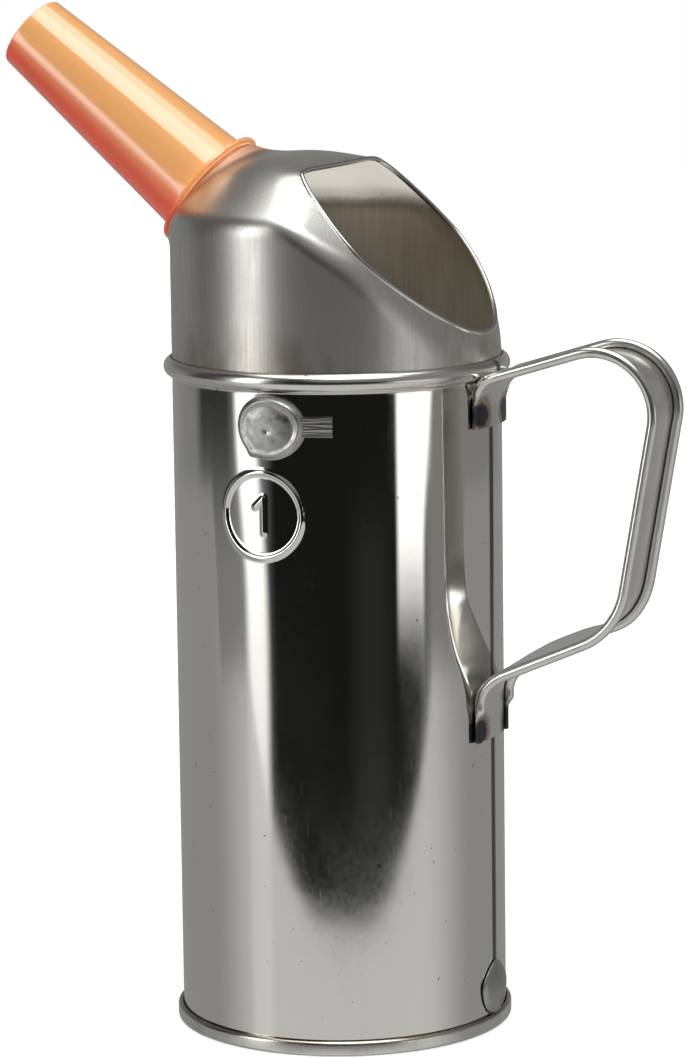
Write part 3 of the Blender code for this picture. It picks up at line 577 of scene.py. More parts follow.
class HoodForm:
    """The hood's surface as a distance, and the points on it."""

    def __init__(self, hood, nozzle, body):
        self.hood = hood
        self.body = body
        rise = nozzle.rise
        self.seat = np.array((-nozzle.seat_reach, 0, nozzle.seat_height))
        self.axis = np.array((-cos(rise), 0, sin(rise)))
        self.underside = np.array((-sin(rise), 0, -cos(rise)))
        self.core = self.seat - self.axis * hood.core_depth
        self.mouth = np.array((hood.mouth_reach, 0, hood.mouth_height))
        self.mouth_normal = np.array((sin(hood.mouth_slope), 0, cos(hood.mouth_slope)))
        self.downhill = np.array((cos(hood.mouth_slope), 0, -sin(hood.mouth_slope)))

    def mouth_rim(self, angle):
        """How far the mouth's rim lies from its centre, by the angle from downhill."""
        last = len(MOUTH_SHARES) - 1
        place = np.abs(angle) / pi * last
        index = np.minimum(place.astype(int), last - 1)
        part = place - index
        before = MOUTH_SHARES[np.abs(index - 1)]
        start = MOUTH_SHARES[index]
        end = MOUTH_SHARES[index + 1]
        after = MOUTH_SHARES[last - np.abs(last - index - 2)]
        curve = (end - before) * part
        curve += (2 * before - 5 * start + 4 * end - after) * part ** 2
        curve += (3 * start - before - 3 * end + after) * part ** 3
        curved = self.hood.mouth_radius * (start + curve / 2)
        uphill = np.maximum(-np.cos(angle) * curved, LEAST_UPHILL)
        straight = rounded_min(curved, curved * self.hood.mouth_top / uphill, self.hood.mouth_corner)
        return np.where(np.cos(angle) < 0, straight, curved)

    def roof(self, point):
        """Distance over the cone, the crown, the land under the collar and the band round the mouth."""
        hood = self.hood
        wall = np.hypot(point[..., 0], point[..., 1]) - self.body.radius
        cone = wall * sin(hood.dome_slope) + (point[..., 2] - hood.shoulder_height) * cos(hood.dome_slope)
        roof = rounded_max(cone, point[..., 2] - hood.crown_height, hood.crown_rounding)
        land = (point - self.seat) @ self.axis + self.body.gap + hood.neck_stub
        roof = rounded_max(roof, land, hood.land_rounding)
        offset = point - self.mouth
        downhill = offset @ self.downhill
        beyond = np.hypot(downhill, offset[..., 1]) - self.mouth_rim(np.arctan2(offset[..., 1], downhill))
        band = (offset @ self.mouth_normal) * cos(hood.bevel) + beyond * sin(hood.bevel)
        return rounded_max(roof, band, hood.bevel_rounding)

    def neck(self, point):
        offset = point - self.seat
        along = offset @ self.axis
        away = np.linalg.norm(offset - along[..., None] * self.axis, axis=-1)
        return np.maximum(away - self.hood.neck_radius, -along - self.body.radius)

    def level(self, point):
        """Distance outside the hood's outer surface, negative inside it."""
        hood = self.hood
        wall = np.hypot(point[..., 0], point[..., 1]) - self.body.radius
        dome = rounded_max(wall, self.roof(point), hood.crease_rounding)
        inwards = -((point - self.seat) @ self.axis) - self.body.gap
        rounding = hood.neck_rounding * np.clip(inwards / hood.neck_ease, 0, 1)
        return rounded_min(dome, self.neck(point), rounding)

    def traced(self, towards, depth, start):
        """Where lines from a start towards points meet the surface a depth under the hood's skin."""
        ahead = towards - start
        ahead = ahead / np.linalg.norm(ahead, axis=-1, keepdims=True)
        inside = np.zeros(ahead.shape[:-1])
        outside = inside + 2 * self.body.radius
        for _ in range(SEARCH_STEPS):
            middle = (inside + outside) / 2
            within = self.level(start + ahead * middle[..., None]) < -depth
            inside = np.where(within, middle, inside)
            outside = np.where(within, outside, middle)
        return start + ahead * inside[..., None]

    def angles(self):
        """Angles round the neck and round the wall, both from -X."""
        half = pi * (np.arange(self.hood.sides) + 0.5) / self.hood.sides
        neck = 2 * np.arctan2(np.sin(half) * self.hood.crowding, np.cos(half))
        wall = 2 * np.arctan2(np.sin(half), np.cos(half) * self.hood.crowding)
        return neck, wall

    def wall_place(self, angle, depth, height):
        radius = self.body.radius - depth
        angle, height = np.broadcast_arrays(angle, height)
        return np.stack((-np.cos(angle) * radius, np.sin(angle) * radius, height), -1)

    def crease(self, angle, depth):
        """How high the wall reaches, up to the roof, the land or the neck."""
        low = np.full(len(angle), self.body.bead_height)
        high = np.full(len(angle), self.hood.crown_height)
        for _ in range(SEARCH_STEPS):
            middle = (low + high) / 2
            place = self.wall_place(angle, depth, middle)
            under = (self.roof(place) < -depth) & (self.neck(place) > -depth)
            low = np.where(under, middle, low)
            high = np.where(under, high, middle)
        return low

    def rings(self, depth):
        """Rings of the skin a depth under the surface, from the neck's end down to the foot."""
        hood = self.hood
        neck_angle, wall_angle = self.angles()
        outwards = np.cos(neck_angle)[:, None] * self.underside
        outwards[:, 1] += np.sin(neck_angle)
        neck = self.seat - self.axis * self.body.gap + outwards * (hood.neck_radius - depth)
        crease_height = self.crease(wall_angle, depth)
        crease = self.wall_place(wall_angle, depth, crease_height)
        shares = (1 - np.cos(pi * np.arange(1, hood.roof_rings + 1) / hood.roof_rings)) / 2
        roof = neck + (crease - neck) * shares[:, None, None]
        flange_reach = hood.flange + self.body.sheet / 2
        curl = self.body.bead_radius - self.body.sheet
        foot = self.body.bead_height - np.sqrt(curl ** 2 - flange_reach ** 2) + self.body.gap
        down = (np.arange(1, hood.wall_rings + 1) / hood.wall_rings) ** WALL_CROWDING
        drop = np.minimum(WALL_DROP, (self.crease(wall_angle, 0) - foot) * WALL_DROP_SHARE)
        wall = self.wall_place(wall_angle, depth, crease_height - down[:, None] * drop)
        skin = self.traced(np.concatenate((roof, wall)), depth, self.core)
        edge = self.wall_place(wall_angle, depth, foot + hood.sheet)
        return np.concatenate((neck[None], skin, edge[None])), foot

    def skin(self):
        """The closed skin, with the number of rows that lie outside."""
        outer, foot = self.rings(0)
        inner, _ = self.rings(self.hood.sheet)
        inner[-1, :, 2] = foot
        _, wall_angle = self.angles()
        flange = [self.wall_place(wall_angle, -self.hood.flange, height)
                  for height in (foot + self.hood.sheet, foot)]
        points = np.concatenate((outer, np.array(flange), inner[::-1]))
        return points, len(outer) + len(flange)

    def rim(self, steps):
        """Points along the middle of the sheet where the mouth cuts it."""
        angle = 2 * pi * np.arange(steps) / steps
        outwards = np.cos(angle)[:, None] * self.downhill
        outwards[:, 1] += np.sin(angle)
        return self.traced(self.mouth + outwards, self.hood.sheet / 2, self.mouth)


def add_tube(shape, path, radius, sides, up, material_index):
    """Add a round tube along a closed path."""
    ahead = np.roll(path, -1, 0) - np.roll(path, 1, 0)
    ahead /= np.linalg.norm(ahead, axis=1, keepdims=True)
    side = np.cross(ahead, up)
    angle = 2 * pi * np.arange(sides) / sides
    points = path[:, None] + radius * (np.cos(angle)[:, None] * side[:, None] + np.sin(angle)[:, None] * up)
    corners = [shape.verts.new(point) for point in points.reshape(-1, 3)]
    for face in sheet_faces(len(path), sides, True, True).tolist():
        made = shape.faces.new([corners[index] for index in face])
        made.material_index = material_index


LIP_STEPS = 420
LIP_SIDES = 14


def hood_shape(form):
    """The hood's skin, cut along the mouth and edged by its rolled lip."""
    points, outside_rows = form.skin()
    shape = grid_shape(points, closed_rows=True)
    columns = points.shape[1]
    shape.faces.ensure_lookup_table()
    for index, face in enumerate(shape.faces):
        face.material_index = 0 if index // columns < outside_rows - 1 else 1
    bmesh.ops.recalc_face_normals(shape, faces=shape.faces)
    everything = shape.verts[:] + shape.edges[:] + shape.faces[:]
    bmesh.ops.bisect_plane(shape, geom=everything, plane_co=form.mouth, plane_no=form.mouth_normal,
                           clear_outer=True, dist=MERGE_DISTANCE)
    rims = [edge for edge in shape.edges if edge.is_boundary]
    bmesh.ops.bridge_loops(shape, edges=rims)
    add_tube(shape, form.rim(LIP_STEPS), form.hood.lip_radius, LIP_SIDES, form.mouth_normal, 2)
    return shape


# How much the spigot narrows and by what depth, the rounding at its root, how far the cone's root lies inside
# its radius, how softly the bore bends there, and how far apart the nozzle's rings are
SPIGOT_SHOULDER = (0.0004, 0.005)
SPIGOT_FILLET = 0.0001
CONE_INSET = 0.00006
BORE_BEND = 0.002
NOZZLE_STEP = 0.004


def nozzle_outline(nozzle, hood, body):
    """The nozzle's wall as a closed (radius, distance from the seat) outline."""
    spigot_root = hood.neck_radius - hood.sheet - body.gap
    spigot_tip = spigot_root - nozzle.spigot_taper
    collar = nozzle.collar_thickness
    small = nozzle.fillet
    narrowing, depth = SPIGOT_SHOULDER
    shoulder = (spigot_root - narrowing, -depth, 0)
    corners = [
        shoulder,
        (spigot_root, 0, SPIGOT_FILLET),
        (nozzle.collar_radius, 0, small),
        (nozzle.collar_radius, collar, small),
        (nozzle.root_radius - CONE_INSET, collar, small),
        (nozzle.tip_radius, nozzle.length, nozzle.edge),
        (nozzle.tip_radius - nozzle.wall, nozzle.length, nozzle.edge),
        (nozzle.root_radius - nozzle.wall, 0, BORE_BEND),
        (spigot_tip - nozzle.wall, -nozzle.spigot_length, nozzle.edge),
        (spigot_tip, -nozzle.spigot_length, nozzle.edge),
        shoulder,
    ]
    path = rounded_path([corner[:2] for corner in corners], [corner[2] for corner in corners])
    return finer_path(path[:-1], NOZZLE_STEP)


STRAP_BEND_STEP = radians(3)
STRAP_STEP = 0.0006
WEB_PARTS = 8

# Lengths along the strap between which its far edge rises and then sinks again, and the least share of a foot
# that still bends it round the wall
FAR_RISES = (0.014, 0.032)
FAR_SINKS = (0.038, 0.056)
LEAST_BEND = 0.001


def strap_line(handle, body):
    """The hand side of the strap's web, as (x, z) points from its lower end to its upper end."""
    pressed_rise = handle.sheet + (2 * handle.curl_radius - handle.sheet) * handle.pressed_share
    lower_web = body.radius + body.gap
    upper_web = lower_web + 2 * handle.curl_radius
    pressed_web = lower_web + pressed_rise
    pressed_top = handle.lower_end_height + handle.pressed_length
    lower_foot = np.array((lower_web, handle.lower_arm_height))
    upper_foot = np.array((upper_web, body.bead_height - body.bead_radius - handle.upper_arm_drop))
    lower_arm = np.array((cos(handle.lower_arm_rise), sin(handle.lower_arm_rise))) * handle.lower_arm_length
    upper_arm = np.array((cos(handle.upper_arm_rise), sin(handle.upper_arm_rise))) * handle.upper_arm_length
    corners = [
        ((lower_web, handle.lower_end_height), 0),
        ((lower_web, pressed_top), 0),
        (lower_foot, handle.lower_foot_bend),
        (lower_foot + lower_arm, handle.lower_grip_bend),
        (upper_foot + upper_arm, handle.upper_grip_bend),
        (upper_foot, handle.upper_foot_bend),
        ((pressed_web, handle.upper_end_height + handle.pressed_length), 0),
        ((pressed_web, handle.upper_end_height), 0),
    ]
    path = rounded_path([corner for corner, _ in corners], [radius for _, radius in corners], STRAP_BEND_STEP)
    return finer_path(path, STRAP_STEP)


def strap_section(handle):
    """The strap's section as (across, rise) points, its two edges rolled into curls."""
    centre = np.array((handle.curl_spacing / 2, handle.curl_radius))
    turns = np.linspace(-pi / 2, handle.curl_end, handle.curl_steps + 1)
    circle = np.stack((np.cos(turns), np.sin(turns)), -1)
    half = np.concatenate((centre + circle * handle.curl_radius,
                           (centre + circle * (handle.curl_radius - handle.sheet))[::-1]))
    other = (half * (-1, 1))[::-1]
    shares = np.arange(1, WEB_PARTS)[:, None] / WEB_PARTS
    back = half[-1] + (other[0] - half[-1]) * shares
    front = other[-1] + (half[0] - other[-1]) * shares
    return np.concatenate((half, back, other, front))


def handle_grid(handle, body):
    """Rings of the strap along its line, wrapped round the wall at both feet."""
    line = strap_line(handle, body)
    normals = path_sides(line)
    travelled = np.concatenate(((0,), np.cumsum(np.linalg.norm(np.diff(line, axis=0), axis=1))))
    section = strap_section(handle)
    rings = []
    for place, normal, from_lower in zip(line, normals, travelled):
        from_upper = travelled[-1] - from_lower
        nearest = min(from_lower, from_upper)
        pressed = 1 - smooth_step(nearest, handle.pressed_length, handle.pressed_length + handle.pressed_ease)
        lower = 1 - smooth_step(from_lower, handle.lower_foot_length,
                                handle.lower_foot_length + handle.lower_foot_fade)
        upper = 1 - smooth_step(from_upper, handle.upper_foot_length,
                                handle.upper_foot_length + handle.upper_foot_fade)
        bend = -place[0] / lower if lower > LEAST_BEND else (place[0] / upper if upper > LEAST_BEND else 0)
        rise_share = 1 - pressed * (1 - handle.pressed_share)
        across = section[:, 0]
        rise = np.minimum(section[:, 1], handle.sheet)
        rise = rise + np.maximum(section[:, 1] - handle.sheet, 0) * rise_share
        if bend:
            across, rise = (bend - rise) * np.sin(across / bend), bend - (bend - rise) * np.cos(across / bend)
        twist = between(from_lower, FAR_RISES, FAR_SINKS)
        lift = handle.far_lift * twist * np.clip(across / handle.curl_spacing + 0.5, 0, 1)
        rings.append(np.stack((place[0] + normal[0] * rise, across, place[1] + normal[1] * rise + lift), -1))
    return np.array(rings)


# Waves of a solder skin: how many there are, how tight they are across and up, in radians to the metre, how
# their directions vary, their highest sum, and how sharply they end at the skin's edge
LUMP_WAVES = 5
LUMP_RATES = (420, 380)
LUMP_TURNS = (7.31, 3.77)
LUMP_PEAK = 1.8
LUMP_END = 4


def lumps(across, up, seed):
    """Gentle unevenness of a solder skin, between about -1 and 1."""
    total = 0
    for number in range(1, LUMP_WAVES + 1):
        first = LUMP_RATES[0] * number * np.sin(seed * number * LUMP_TURNS[0])
        second = LUMP_RATES[1] * number * np.cos(seed * number * LUMP_TURNS[1])
        total = total + np.sin(across * first + up * second + seed * number) / number
    return total / LUMP_PEAK


# Rings and columns of a drop of solder, how full its dome is, the rings of its underside as shares of its
# reach, and how thick it is at least at its edge
DROP_RINGS = 44
DROP_COLUMNS = 112
DOME_FULLNESS = 2.4
UNDERSIDE_RINGS = (0.995, 0.7, 0.35, 0.1)
DROP_EDGE = 0.0001


def solder_grid(body, angle, height, half_width, half_height, rise, outline, surface):
    """A drop of solder over the wall, closed by an underside a clearance off it."""
    shares = np.sin(np.linspace(0, pi / 2, DROP_RINGS)[1:])
    directions = 2 * pi * np.arange(DROP_COLUMNS) / DROP_COLUMNS
    reach = outline(directions)
    rings = []
    for done in shares:
        across = done * np.cos(directions) * half_width * reach
        up = done * np.sin(directions) * half_height * reach
        level = rise * (1 - done ** DOME_FULLNESS) ** 0.5 + surface(across, up, done)
        rings.append((across, up, np.maximum(level, body.gap + DROP_EDGE)))
    for done in UNDERSIDE_RINGS:
        across = done * np.cos(directions) * half_width * reach
        rings.append((across, done * np.sin(directions) * half_height * reach, body.gap + 0 * across))
    points = []
    for across, up, level in rings:
        turned_by = angle + across / body.radius
        radius = body.radius + level
        points.append(np.stack((radius * np.cos(turned_by), radius * np.sin(turned_by), height + up), -1))
    return np.array(points)


# The seal's form in shares of its reach and its rise: a blunt corner's direction, half width and reach, the
# place and half width of its raised rim, the rim's rise, its change and the direction of its highest point,
# and the hollow's half width and depth. Its three sides have their size and their phase.
SEAL_CORNER = (-2.15, 0.16, 0.09)
SEAL_UNROUND = (0.012, 1.0)
SEAL_RIM = (0.85, 0.11)
SEAL_RIM_RISE = (0.34, 0.12, 0.5)
SEAL_HOLLOW = (0.55, 0.12)
SEAL_SEED = 2.3

# The crater beside the seal's middle, in metres
CRATER_SPOT = (-0.0002, -0.0006)
CRATER_DEPTH = 0.00030
CRATER_RADIUS = 0.0007

# The drop's form: how much narrower it is above, where that starts and ends as shares of its half height, how
# unround it is, and how smooth beside the seal
DROP_NARROWING = 0.20
DROP_NARROWS = (0.1, 1.0)
DROP_UNROUND = (0.02, 0.5)
DROP_SMOOTHNESS = 0.7
DROP_SEED = 4.1


def hump(value, middle, half_width):
    """A soft rise to 1 at its middle."""
    return np.exp(-((value - middle) / half_width) ** 2)


def three_sides(direction, size, phase):
    """How far a drop of solder is from round, in three slight sides."""
    return size * np.sin(3 * direction + phase)


def seal_outline(direction):
    """How far the seal reaches in a direction: round, with one blunt corner below."""
    corner_direction, half_width, reach = SEAL_CORNER
    corner = hump(wrapped(direction - corner_direction), 0, half_width) * reach
    return 1 + three_sides(direction, *SEAL_UNROUND) + corner


def seal_surface(solder, across, up, done):
    """The seal's skin: a raised rim, a hollow inside it and a small crater beside the middle."""
    rise, change, highest = SEAL_RIM_RISE
    rim = (rise + change * np.cos(np.arctan2(up, across) - highest)) * hump(done, *SEAL_RIM)
    half_width, depth = SEAL_HOLLOW
    hollow = depth * hump(done, 0, half_width)
    from_crater = np.hypot(across - CRATER_SPOT[0], up - CRATER_SPOT[1])
    crater = CRATER_DEPTH * hump(from_crater, 0, CRATER_RADIUS)
    uneven = solder.lumps * lumps(across, up, SEAL_SEED) * (1 - done ** LUMP_END)
    return solder.seal_rise * (rim - hollow) - crater + uneven


def drop_outline(direction):
    """How far the drop reaches in a direction: narrower above."""
    above = smooth_step(np.sin(direction), *DROP_NARROWS)
    narrow = 1 - DROP_NARROWING * above * np.abs(np.cos(direction))
    return narrow + three_sides(direction, *DROP_UNROUND)


def drop_surface(solder, across, up, done):
    """The drop's skin, smoother than the seal's."""
    return solder.lumps * DROP_SMOOTHNESS * lumps(across, up, DROP_SEED) * (1 - done ** LUMP_END)


class Value:
    """What a shader node gives out, with the usual arithmetic."""

    def __init__(self, socket):
        self.socket = socket
        self.tree = socket.id_data

    def __add__(self, other):
        return calc("ADD", self, other)

    def __sub__(self, other):
        return calc("SUBTRACT", self, other)

    def __rsub__(self, other):
        return calc("SUBTRACT", other, self)

    def __mul__(self, other):
        return calc("MULTIPLY", self, other)

    def __truediv__(self, other):
        return calc("DIVIDE", self, other)

    def __pow__(self, other):
        return calc("POWER", self, other)

    def __gt__(self, other):
        return calc("GREATER_THAN", self, other)

    def __abs__(self):
        return calc("ABSOLUTE", self)


def connect(socket, value):
    """Give a socket a node's value, a number, a place, or a colour with no alpha."""
    if isinstance(value, Value):
        value.tree.links.new(value.socket, socket)
    elif isinstance(value, (int, float)):
        socket.default_value = value
    else:
        socket.default_value = (*value, 1.0)[:len(socket.default_value)]


def add_node(tree, kind, inputs=None, output=0, **settings):
    """Add a shader node, fill its inputs, and hand back one of its outputs."""
    made = tree.nodes.new("ShaderNode" + kind)
    for key, value in settings.items():
        setattr(made, key, value)
    for key, value in (inputs or {}).items():
        connect(made.inputs[key], value)
    return Value(made.outputs[output])


def calc(operation, *values):
    """One step of arithmetic with nodes' values and numbers."""
    tree = next(value.tree for value in values if isinstance(value, Value))
    return add_node(tree, "Math", dict(enumerate(values)), operation=operation)


def fade(value, low, high, first=0.0, last=1.0):
    """Passes smoothly from one number to another while the value goes from low to high."""
    inputs = {"Value": value, "From Min": low, "From Max": high, "To Min": first, "To Max": last}
    return add_node(value.tree, "MapRange", inputs, interpolation_type="SMOOTHSTEP")


def fade_out(value, low, high, first=1.0):
    return fade(value, low, high, first, 0.0)


def window(value, low, high, blur):
    """1 between two limits and 0 outside them, with soft edges."""
    return fade(value, low - blur, low + blur) * fade_out(value, high - blur, high + blur)


def blended(factor, first, second):
    """A colour between two colours."""
    return add_node(factor.tree, "Mix", {0: factor, 6: first, 7: second}, 2, data_type="RGBA")


def dimmed(colour_value, level):
    return tuple(channel * level for channel in colour_value)


def stretched(place, scale, turned_by=(0.0, 0.0, 0.0)):
    inputs = {"Vector": place, "Scale": scale, "Rotation": turned_by}
    return add_node(place.tree, "Mapping", inputs)


def noise(place, scale, detail=3.0, roughness=0.5):
    """Cloudy noise. A scale of three numbers stretches it."""
    if isinstance(scale, tuple):
        place, scale = stretched(place, scale), 1.0
    inputs = {"Vector": place, "Scale": scale, "Detail": detail, "Roughness": roughness}
    return add_node(place.tree, "TexNoise", inputs)


def distance(place, spot):
    """How far a place is from a spot."""
    inputs = {0: place, 1: spot}
    return add_node(place.tree, "VectorMath", inputs, "Value", operation="DISTANCE")


def separated(place):
    """The three coordinates of a place."""
    first = add_node(place.tree, "SeparateXYZ", {0: place})
    return [Value(socket) for socket in first.socket.node.outputs]


def bumped(height, strength, depth, normal=None):
    """A bumpy normal, over another one where there is one."""
    inputs = {"Height": height, "Strength": strength, "Distance": depth}
    if normal is not None:
        inputs["Normal"] = normal
    return add_node(height.tree, "Bump", inputs)


def new_finish(name):
    """A material, and the piece's own coordinates in it."""
    material = bpy.data.materials.new(name)
    material.use_nodes = True
    return material, add_node(material.node_tree, "TexCoord", output="Object")


def finished(material, **values):
    """Give the shader's inputs what they take, by their names with _ for a space."""
    shader = material.node_tree.nodes["Principled BSDF"]
    for key, value in values.items():
        connect(shader.inputs[key.replace("_", " ")], value)
    return material


def wall_coordinates(place, radius):
    """Distance round the wall from -X and height, as flat coordinates, then the three plain ones."""
    parts = separated(place)
    round_wall = calc("ARCTAN2", parts[1] * -1.0, parts[0] * -1.0) * radius
    return add_node(place.tree, "CombineXYZ", {0: round_wall, 1: parts[2]}), parts


def scratches(flat, fineness, narrowness, direction, low, high):
    """Thin scattered scratches of one direction: more show with lower limits."""
    lines = stretched(flat, (fineness, fineness * narrowness, 1.0), (0.0, 0.0, direction))
    return fade(noise(lines, 1.0, detail=2.0, roughness=0.6), low, high)


# Where the finishes change, in metres. A pair is where a fade starts and ends.
SEAM_EDGE = 0.0001
BEAD_DULLS = (0.1755, 0.1768)
# Reach of the nozzle's painted reflection round the collar's seat
NOZZLE_REFLEX_RING = (0.0185, 0.0235)
DULL_RING = (0.0180, 0.0200)
SOILED_HEIGHTS = (0.183, 0.197)
# Heights of the painted glow inside the hood
PAINTED_GLOW_HEIGHTS = (0.2188, 0.2262)
CREVICE_HEIGHTS = (0.0036, 0.0043)
TABLE_ENDS = (0.22, 0.40)

# Spot welds: how far each lies across the strap and above the strap's end, and how far its heat marks reach
UPPER_WELDS = ((-0.0086, 0.0036), (0.0066, 0.0036))
LOWER_WELDS = ((-0.0092, 0.0028), (0.0092, 0.0028))
WELD_STANDS_OUT = 0.001
WELD_DARK = (0.0028, 0.0042)
WELD_BROWN = (0.0042, 0.0064)
WELD_WOBBLE = 0.0022

# How deep the nozzle's outer skin counts, which carries the painted glow, how far below the collar it starts,
# and the shares of its radius between which it changes from painted shade below to its lit colour above
OUTER_SKIN = 0.0007
OUTER_SKIN_BELOW = 0.0002
PLASTIC_TURNS = (-0.50, 0.20)


def bright_tin(settings):
    """Rolled tinplate: glossy, slightly wavy, with fine scratches, smudges, dust, dark specks and painted
    shade in the seam's groove.
    """
    material, place = new_finish("bright_tinplate")
    body, colours = settings.body, settings.colours
    flat, (ahead, aside, height) = wall_coordinates(place, body.radius)

    smudge = noise(flat, (30.0, 14.0, 1.0), detail=5.0, roughness=0.6)
    grain = noise(flat, (900.0, 600.0, 1.0), detail=2.0)
    drawn = noise(flat, (2200.0, 26.0, 1.0), roughness=0.6)
    rising = scratches(flat, 2200.0, 0.05, direction=0.45, low=0.66, high=0.74)
    falling = scratches(flat, 1900.0, 0.06, direction=-1.0, low=0.68, high=0.76)
    scored = calc("MAXIMUM", rising, falling)
    specks = fade(noise(flat, 520.0, detail=1.0), 0.755, 0.79)
    dust = noise(flat, (1400.0, 900.0, 1.0), detail=4.0, roughness=0.7)
    dust = fade(dust, 0.50, 0.72) * fade(smudge, 0.42, 0.66, 0.15, 1.0)
    in_seam = window(abs(aside), -1.0, body.seam_width / 2 + SEAM_EDGE, SEAM_EDGE) * (ahead > 0.0)

    tin = blended(fade(smudge, 0.52, 0.75, 0.0, 0.10), colours.tin, colours.flux)
    tin = blended(specks * 0.65, tin, colours.speck)
    # Painted shade: the seam's groove is painted near black
    tin = blended(in_seam * 0.85, tin, colours.seam)
    rough = fade(smudge, 0.3, 0.7, 0.035, 0.070) + scored * 0.05 + (grain - 0.5) * 0.03
    rough = rough + in_seam * 0.35 + fade(height, *BEAD_DULLS, 0.0, 0.17)
    normal = bumped(drawn * 0.5 + scored * 0.25, strength=0.10, depth=0.00002)
    normal = bumped(noise(flat, 70.0, detail=2.0), strength=0.05, depth=0.00009, normal=normal)
    return finished(material, Base_Color=tin, Metallic=1.0 - dust * 0.04, Roughness=rough, Normal=normal)


def drawn_tin(name, colour_value, smooth, dull, streak, mottle):
    """Satin tinplate, streaked from the drawing and mottled: its material, height, cloud and inputs."""
    material, place = new_finish(name)
    streaks = noise(place, (1500.0, 1500.0, 40.0), roughness=0.6)
    cloud = noise(place, (60.0, 60.0, 40.0), detail=5.0, roughness=0.65)
    grain = noise(place, 2600.0, detail=2.0)
    shade = (streaks - 0.5) * streak + (cloud - 0.5) * mottle + (grain - 0.5) * 0.25
    inputs = {
        "Base_Color": blended(fade(shade, -0.25, 0.25), dimmed(colour_value, 0.72), colour_value),
        "Roughness": fade(shade + 0.5, 0.2, 0.8, dull, smooth),
        "Normal": bumped(streaks + grain * 0.5, strength=0.10, depth=0.00003),
    }
    return material, place, cloud, inputs


def hood_outside(settings, name, colour_value, smooth, dull, unevenness):
    """The hood's skin and its lip: orange beside the nozzle as a painted reflection of it, and soiled above
    the bead.
    """
    material, place, cloud, inputs = drawn_tin(name, colour_value, smooth, dull, unevenness, unevenness)
    nozzle, colours = settings.nozzle, settings.colours
    height = separated(place)[2]
    from_seat = distance(place, (-nozzle.seat_reach, 0.0, nozzle.seat_height))
    # Painted reflection: the nozzle's orange painted round the collar's seat
    tin = blended(fade_out(from_seat, *NOZZLE_REFLEX_RING, 0.75), inputs["Base_Color"], colours.painted_nozzle_reflex)
    soil = fade_out(height, *SOILED_HEIGHTS, 0.5) * fade(cloud, 0.4, 0.65)
    inputs["Base_Color"] = blended(soil, tin, colours.flux)
    inputs["Roughness"] = inputs["Roughness"] + fade_out(from_seat, *DULL_RING, 0.3)
    return finished(material, Metallic=1.0, **inputs)


def hood_inside(settings):
    """The duller inside of the hood, with a painted glow under its crown."""
    tin = settings.colours.inner_tin
    material, place, cloud, inputs = drawn_tin("hood_inside", tin, 0.34, 0.46, 0.5, 0.6)
    height = separated(place)[2]
    # Painted glow: the inside emits light under the crown, as if lit there
    glow = fade(height + cloud * 0.003, *PAINTED_GLOW_HEIGHTS, 0.0, 0.55)
    return finished(material, Metallic=0.5, Emission_Color=settings.colours.painted_inner_glow,
                    Emission_Strength=glow, **inputs)


def handle_tin(settings):
    """Bright tinplate of the strap, with blue-black heat marks edged in brown at the spot welds."""
    material, place = new_finish("handle_tinplate")
    handle, body, colours = settings.handle, settings.body, settings.colours
    along = noise(place, (900.0, 900.0, 60.0), roughness=0.6)
    smudge = noise(place, 60.0, detail=4.0, roughness=0.6)
    wobble = (noise(place, 500.0, detail=2.0) - 0.5) * WELD_WOBBLE
    scorch, edge = 0.0, 0.0
    for end_height, spots in ((handle.upper_end_height, UPPER_WELDS), (handle.lower_end_height, LOWER_WELDS)):
        for across, above_end in spots:
            turned_by = across / body.radius
            out, aside = cos(turned_by) * body.radius + WELD_STANDS_OUT, sin(turned_by) * body.radius
            from_weld = distance(place, (out, aside, end_height + above_end)) + wobble
            scorch = calc("MAXIMUM", fade_out(from_weld, *WELD_DARK), scorch)
            edge = calc("MAXIMUM", fade_out(from_weld, *WELD_BROWN), edge)
    tin = blended(fade(smudge, 0.45, 0.75, 0.0, 0.15), colours.tin, colours.flux)
    tin = blended(edge * 0.7, tin, colours.scorch_edge)
    tin = blended(scorch * 0.93, tin, colours.scorch)
    rough = fade(along, 0.3, 0.7, 0.19, 0.24) + scorch * 0.18
    normal = bumped(along, strength=0.03, depth=0.00003)
    return finished(material, Base_Color=tin, Metallic=0.88, Roughness=rough, Normal=normal)


def base_tin(settings):
    """Tinplate of the base, dull from handling, with flux along its upper edge."""
    material, place = new_finish("base_tinplate")
    colours = settings.colours
    smudge = noise(place, 90.0, detail=5.0, roughness=0.65)
    fine = noise(place, (300.0, 300.0, 3000.0), detail=2.0)
    crevice = fade(separated(place)[2] + smudge * 0.0008, *CREVICE_HEIGHTS)
    tin = blended(fade(smudge, 0.4, 0.75, 0.0, 0.3), colours.tin, colours.flux)
    tin = blended(crevice * 0.6, tin, colours.flux)
    return finished(material, Base_Color=tin, Metallic=1.0, Roughness=fade(smudge, 0.3, 0.7, 0.18, 0.30),
                    Normal=bumped(fine, strength=0.1, depth=0.00003))


def solder_skin(settings, name, roughness, spot=(0.0, 0.0, 0.0), reach=1.0):
    """Set solder: satin grey, crusted in places, with brown flux at its reach from a spot."""
    material, place = new_finish(name)
    colours = settings.colours
    crust = noise(place, 520.0, detail=6.0, roughness=0.65)
    cloud = noise(place, 170.0, roughness=0.6)
    pits = add_node(place.tree, "TexVoronoi", {"Vector": place, "Scale": 900.0})
    rim = fade(distance(place, spot), reach * 0.93, reach * 1.04)
    skin = blended(fade(cloud, 0.35, 0.7), dimmed(colours.solder, 0.72), colours.solder)
    skin = blended(fade(crust, 0.60, 0.74, 0.0, 0.35), skin, colours.crust)
    skin = blended(rim * 0.55, skin, colours.flux)
    rough = fade(crust, 0.3, 0.7, roughness - 0.10, roughness + 0.12)
    return finished(material, Base_Color=skin, Metallic=1.0, Roughness=rough,
                    Normal=bumped(crust + pits * 0.35, strength=0.25, depth=0.00010))


